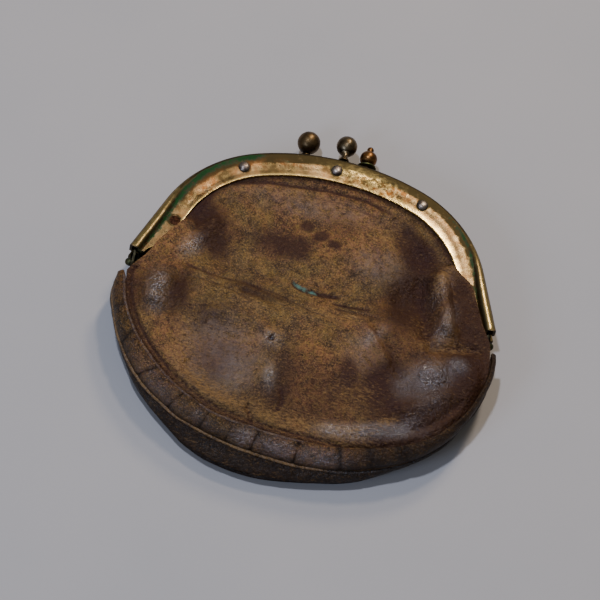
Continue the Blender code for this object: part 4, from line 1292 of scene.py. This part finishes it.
def sweep(name, line, height, profile, columns, slotName, material, replaces, attributes):
    # a closed section carried along a line, tapered to nothing at both ends
    rows = len(profile)
    loop = np.array(profile + profile[:1])

    def place(u, v):
        x, y, nx, ny = outwards(line, u)
        taper = np.sqrt(np.clip(np.minimum(u, 1 - u) / 0.012, 0.0, 1.0))
        row = np.round(v * rows).astype(int)
        wave = 1 + 0.16 * ripple(u * 150, 0 * u, 5.0, 4.0)
        out, up = loop[row, 0] * taper * wave, loop[row, 1] * taper * wave
        drift = 0.10 * ripple(u * 150, 0 * u, 13.0, 8.0)
        return x + nx * (out + drift), y + ny * (out + drift), height(u) + up + drift

    bm, u, v = mappedGrid(columns, rows, place)
    for key, value in attributes(u, v).items():
        paint(bm, key, value)
    bmesh.ops.remove_doubles(bm, verts=bm.verts, dist=2e-6)
    bmesh.ops.recalc_face_normals(bm, faces=bm.faces)
    return finishMesh(bm, name, "root", material, replaces)


def roundLoop(wide, high, steps=14, pinch=0.0):
    angles = np.linspace(0, 2 * math.pi, steps + 1)[:-1]
    return [
        (wide * math.cos(a) * (1 - pinch * math.sin(a) ** 2), high * math.sin(a)) for a in angles
    ]


def weltPaint(u, v):
    crown = bell(np.mod(v + 0.02, 1.0) - 0.27, 0.12)
    broken = ripple(u * 150, v * 2, 3.0, 5.0)
    return {
        "rubbedAndHighlight": crown * (0.1 + 0.45 * broken),
        "shade": 0.85 - 0.3 * crown + 0.4 * smooth((u - 0.5) / 0.12), "burnish": 0.4 * crown
    }


def lipPaint(u, v):
    # the crown is painted tan: partly worn edge, partly a painted highlight along the raised lip;
    # its sides get painted shade
    crown = bell(np.mod(v + 0.02, 1.0) - 0.2, 0.2)
    broken = ripple(u * 150, v * 2, 4.0, 5.0)
    visible = smooth((0.62 - u) / 0.08)
    return {
        "rubbedAndHighlight": crown * (0.8 + 0.7 * broken) * visible,
        "shade": 0.5 * (1 - crown) + 0.6 * (1 - visible), "burnish": 0.35 * crown
    }


def makeSheetPiece(
    name, steps, centre, outline, height, thickness, material, replaces, faceDown=False
):
    bm, x, y, share = discSheet(steps, centre, outline, height)
    ragged = ripple(x, y, 5.0, 3.0)
    paint(bm, "stainAndShade", 0.35 + 0.4 * ragged)
    paint(bm, "rubbedAndHighlight", 0.6 * smooth((share - 0.97) / 0.03) + 0.15 * ragged)
    paint(bm, "burnish", 0.25 + 0.2 * ragged)
    if faceDown:
        bmesh.ops.reverse_faces(bm, faces=bm.faces)
    obj = finishMesh(bm, name, None, material, replaces)
    modifier(obj, "hide", "SOLIDIFY", thickness=thickness * mm, offset=-1.0)
    modifier(
        obj, "edges", "BEVEL", width=0.12 * mm, segments=2, limit_method="ANGLE",
        angle_limit=math.radians(60)
    )
    return obj


def ringOutline(lower, zLower, inset, z, lastArc, neckX, neckFoot):
    arcs = np.linspace(lastArc, -lastArc, 90)
    top = [insideArch(s, inset, z) for s in arcs]
    left = [(-neckX, top[-1][1] - 1.0, z), (-neckX, neckFoot, z), (-neckX - 0.6, neckFoot - 1.2, z)]
    right = [(-px, py, pz) for px, py, pz in reversed(left)]
    below = [(px, py, zLower) for px, py in zip(*atShare(lower, np.linspace(0.03, 0.97, 140)))]
    return np.array(top + left + below + right + top[:1])


def shifted(line, distance):
    shares = np.linspace(0, 1, len(line))
    x, y, nx, ny = outwards(line, shares)
    return np.array([x + nx * distance, y + ny * distance]).T


frontWeltHeight = 10.95
makeGusset(
    "front_gusset_wall", shifted(seam, 0.25), shifted(lip, -1.5), 10.7, 6.75, 0.95,
    ["front_gusset"], True
)
makeGusset(
    "back_gusset_wall_upper", shifted(lip, -1.6), shifted(belly, -1.2), 5.85, 3.4, 0.5,
    ["back_gusset"], False
)
makeGusset(
    "back_gusset_wall_lower", shifted(belly, -1.2), shifted(belly, -2.2), 3.4, 1.15, 0.2, [], False
)
sweep(
    "front_welt_cord", shifted(seam, 0.5),
    lambda u: frontWeltHeight + 0 * u - 2.3 * smooth((u - 0.52) / 0.12) * (
        1 - 0.6 * smooth((u - 0.93) / 0.04)
    ), roundLoop(0.5, 0.62), 520,
    "panel_leather", panelLeather, ["front_welt"], weltPaint,
)
sweep(
    "back_welt_cord", shifted(belly, -2.0), lambda u: 0.62 + 0 * u, roundLoop(0.55, 0.5), 420,
    "panel_leather", gussetLeather, ["back_welt"], weltPaint,
)


def dividerHeight(x, y, share, edge):
    low = 6.75 + 0.12 * ripple(x, y, 10.0, 3.0) * smooth((1 - share) / 0.1)
    rise = smooth((y + 6) / 12)
    return low * (1 - rise) + (hingeZ + 0.32) * rise + 0 * edge


def makeDivider():
    outline = ringOutline(shifted(lip, -0.7), 6.75, 1.3, hingeZ + 0.32, 52.0, 39.9, -1.6)
    obj = makeSheetPiece(
        "divider_sheet", 150, (0.0, -4.0), outline, dividerHeight, 0.64, gussetLeather,
        ["divider_upper", "divider_lower"],
    )
    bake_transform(obj)


makeDivider()
sweep(
    "divider_lip", shifted(lip, -0.7), lambda u: 6.42 - 0.7 * smooth((u - 0.55) / 0.12),
    roundLoop(0.62, 0.42), 520,
    "gusset_leather", gussetLeather, [], lipPaint,
)


def backHeight(x, y, share, edge):
    rise = smooth((y + 3.2) / 4.6)
    flat = 0.12 + 0.35 * smooth((share - 0.93) / 0.07) + 0.06 * (1 + ripple(x, y, 12.0, 3.0))
    return flat * (1 - rise) + 1.95 * rise + 0 * edge


def makeBackPanel():
    outline = ringOutline(shifted(belly, -2.3), 0.5, 3.2, 1.95, 50.0, 39.6, -1.9)
    obj = makeSheetPiece(
        "back_panel_sheet", 150, (0.0, -4.0), outline, backHeight, 0.9, panelLeather,
        ["back_panel"], faceDown=True,
    )
    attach(obj, "root")


makeBackPanel()
print("pouch sewn")

# camera, floor and light

view = {"tilt": 30.0, "roll": 13.3, "lens": 248.0, "distance": 1000.0, "aim": (-2.4, -0.95, 8.0)}


def makeCamera():
    tilt, roll = math.radians(view["tilt"]), math.radians(view["roll"])
    back = Vector((0, -math.sin(tilt), math.cos(tilt)))
    upward = Vector((0, math.cos(tilt), math.sin(tilt)))
    sideways = Vector((1, 0, 0))
    right = sideways * math.cos(roll) + upward * math.sin(roll)
    up = upward * math.cos(roll) - sideways * math.sin(roll)
    camera = bpy.data.cameras.new("camera")
    camera.lens = view["lens"]
    camera.sensor_width = 36.0
    camera.clip_start = 0.01
    obj = bpy.data.objects.new("camera", camera)
    bpy.context.scene.collection.objects.link(obj)
    turn = Matrix((right, up, back)).transposed().to_4x4()
    obj.matrix_world = Matrix.Translation(
        toWorld(*view["aim"]) + back * view["distance"] * mm
    ) @ turn
    bpy.context.scene.camera = obj


def makeFloor():
    bm = bmesh.new()
    bmesh.ops.create_grid(bm, x_segments=1, y_segments=1, size=2.0)
    material, tree, shader = newMaterial("paleTableCloth")
    place = add(tree, "ShaderNodeTexCoord").outputs["Object"]
    cloudy = add(
        tree, "ShaderNodeTexNoise",
        {"Vector": place, "Scale": perMm(70), "Detail": 5.0, "Roughness": 0.55}
    )
    cloth = add(
        tree, "ShaderNodeMix", {0: cloudy.outputs["Fac"], 6: linear("928c86"), 7: linear("a0968d")},
        data_type="RGBA"
    )
    tree.links.new(cloth.outputs[2], shader.inputs["Base Color"])
    weave = add(tree, "ShaderNodeTexNoise", {"Vector": place, "Scale": perMm(1.5), "Detail": 4.0})
    bump = add(
        tree, "ShaderNodeBump",
        {"Height": weave.outputs["Fac"], "Strength": 0.1, "Distance": 0.0003}
    )
    tree.links.new(bump.outputs[0], shader.inputs["Normal"])
    shader.inputs["Roughness"].default_value = 0.75
    mesh = bpy.data.meshes.new("floor")
    bm.to_mesh(mesh)
    bm.free()
    floor = bpy.data.objects.new("floor", mesh)
    bpy.context.scene.collection.objects.link(floor)
    floor.location.z = -0.0001
    wear(floor, material)


lights = {  # position in mm from the hinge line, size in mm, power in watts, colour
    "lamp": {"at": (170, 620, 560), "size": (150, 150), "power": 2.8, "colour": "fff1df"},
    "bulb": {"at": (120, 440, 690), "size": (80, 80), "power": 2.2, "colour": "fff6ea"},
    "window": {"at": (-190, -10, 930), "size": (50, 50), "power": 7.0, "colour": "cfdfff"},
    "room": {"at": (-500, -640, 500), "size": (320, 320), "power": 4.2, "colour": "b4ceff"},
}


def makeLights():
    for name, facts in lights.items():
        data = bpy.data.lights.new(name, "AREA")
        data.shape = "RECTANGLE"
        data.size, data.size_y = facts["size"][0] * mm, facts["size"][1] * mm
        data.energy = facts["power"]
        data.color = linear(facts["colour"])[:3]
        obj = bpy.data.objects.new(name, data)
        bpy.context.scene.collection.objects.link(obj)
        obj.location = Vector(facts["at"]) * mm
        obj.rotation_mode = "QUATERNION"
        obj.rotation_quaternion = (obj.location - Vector((0, 0, 0))).to_track_quat("Z", "Y")
    world = bpy.data.worlds.new("studio")
    bpy.context.scene.world = world
    world.use_nodes = True
    background = world.node_tree.nodes["Background"]
    background.inputs["Color"].default_value = linear("d9dde2")
    background.inputs["Strength"].default_value = 0.3


makeCamera()
makeFloor()
makeLights()
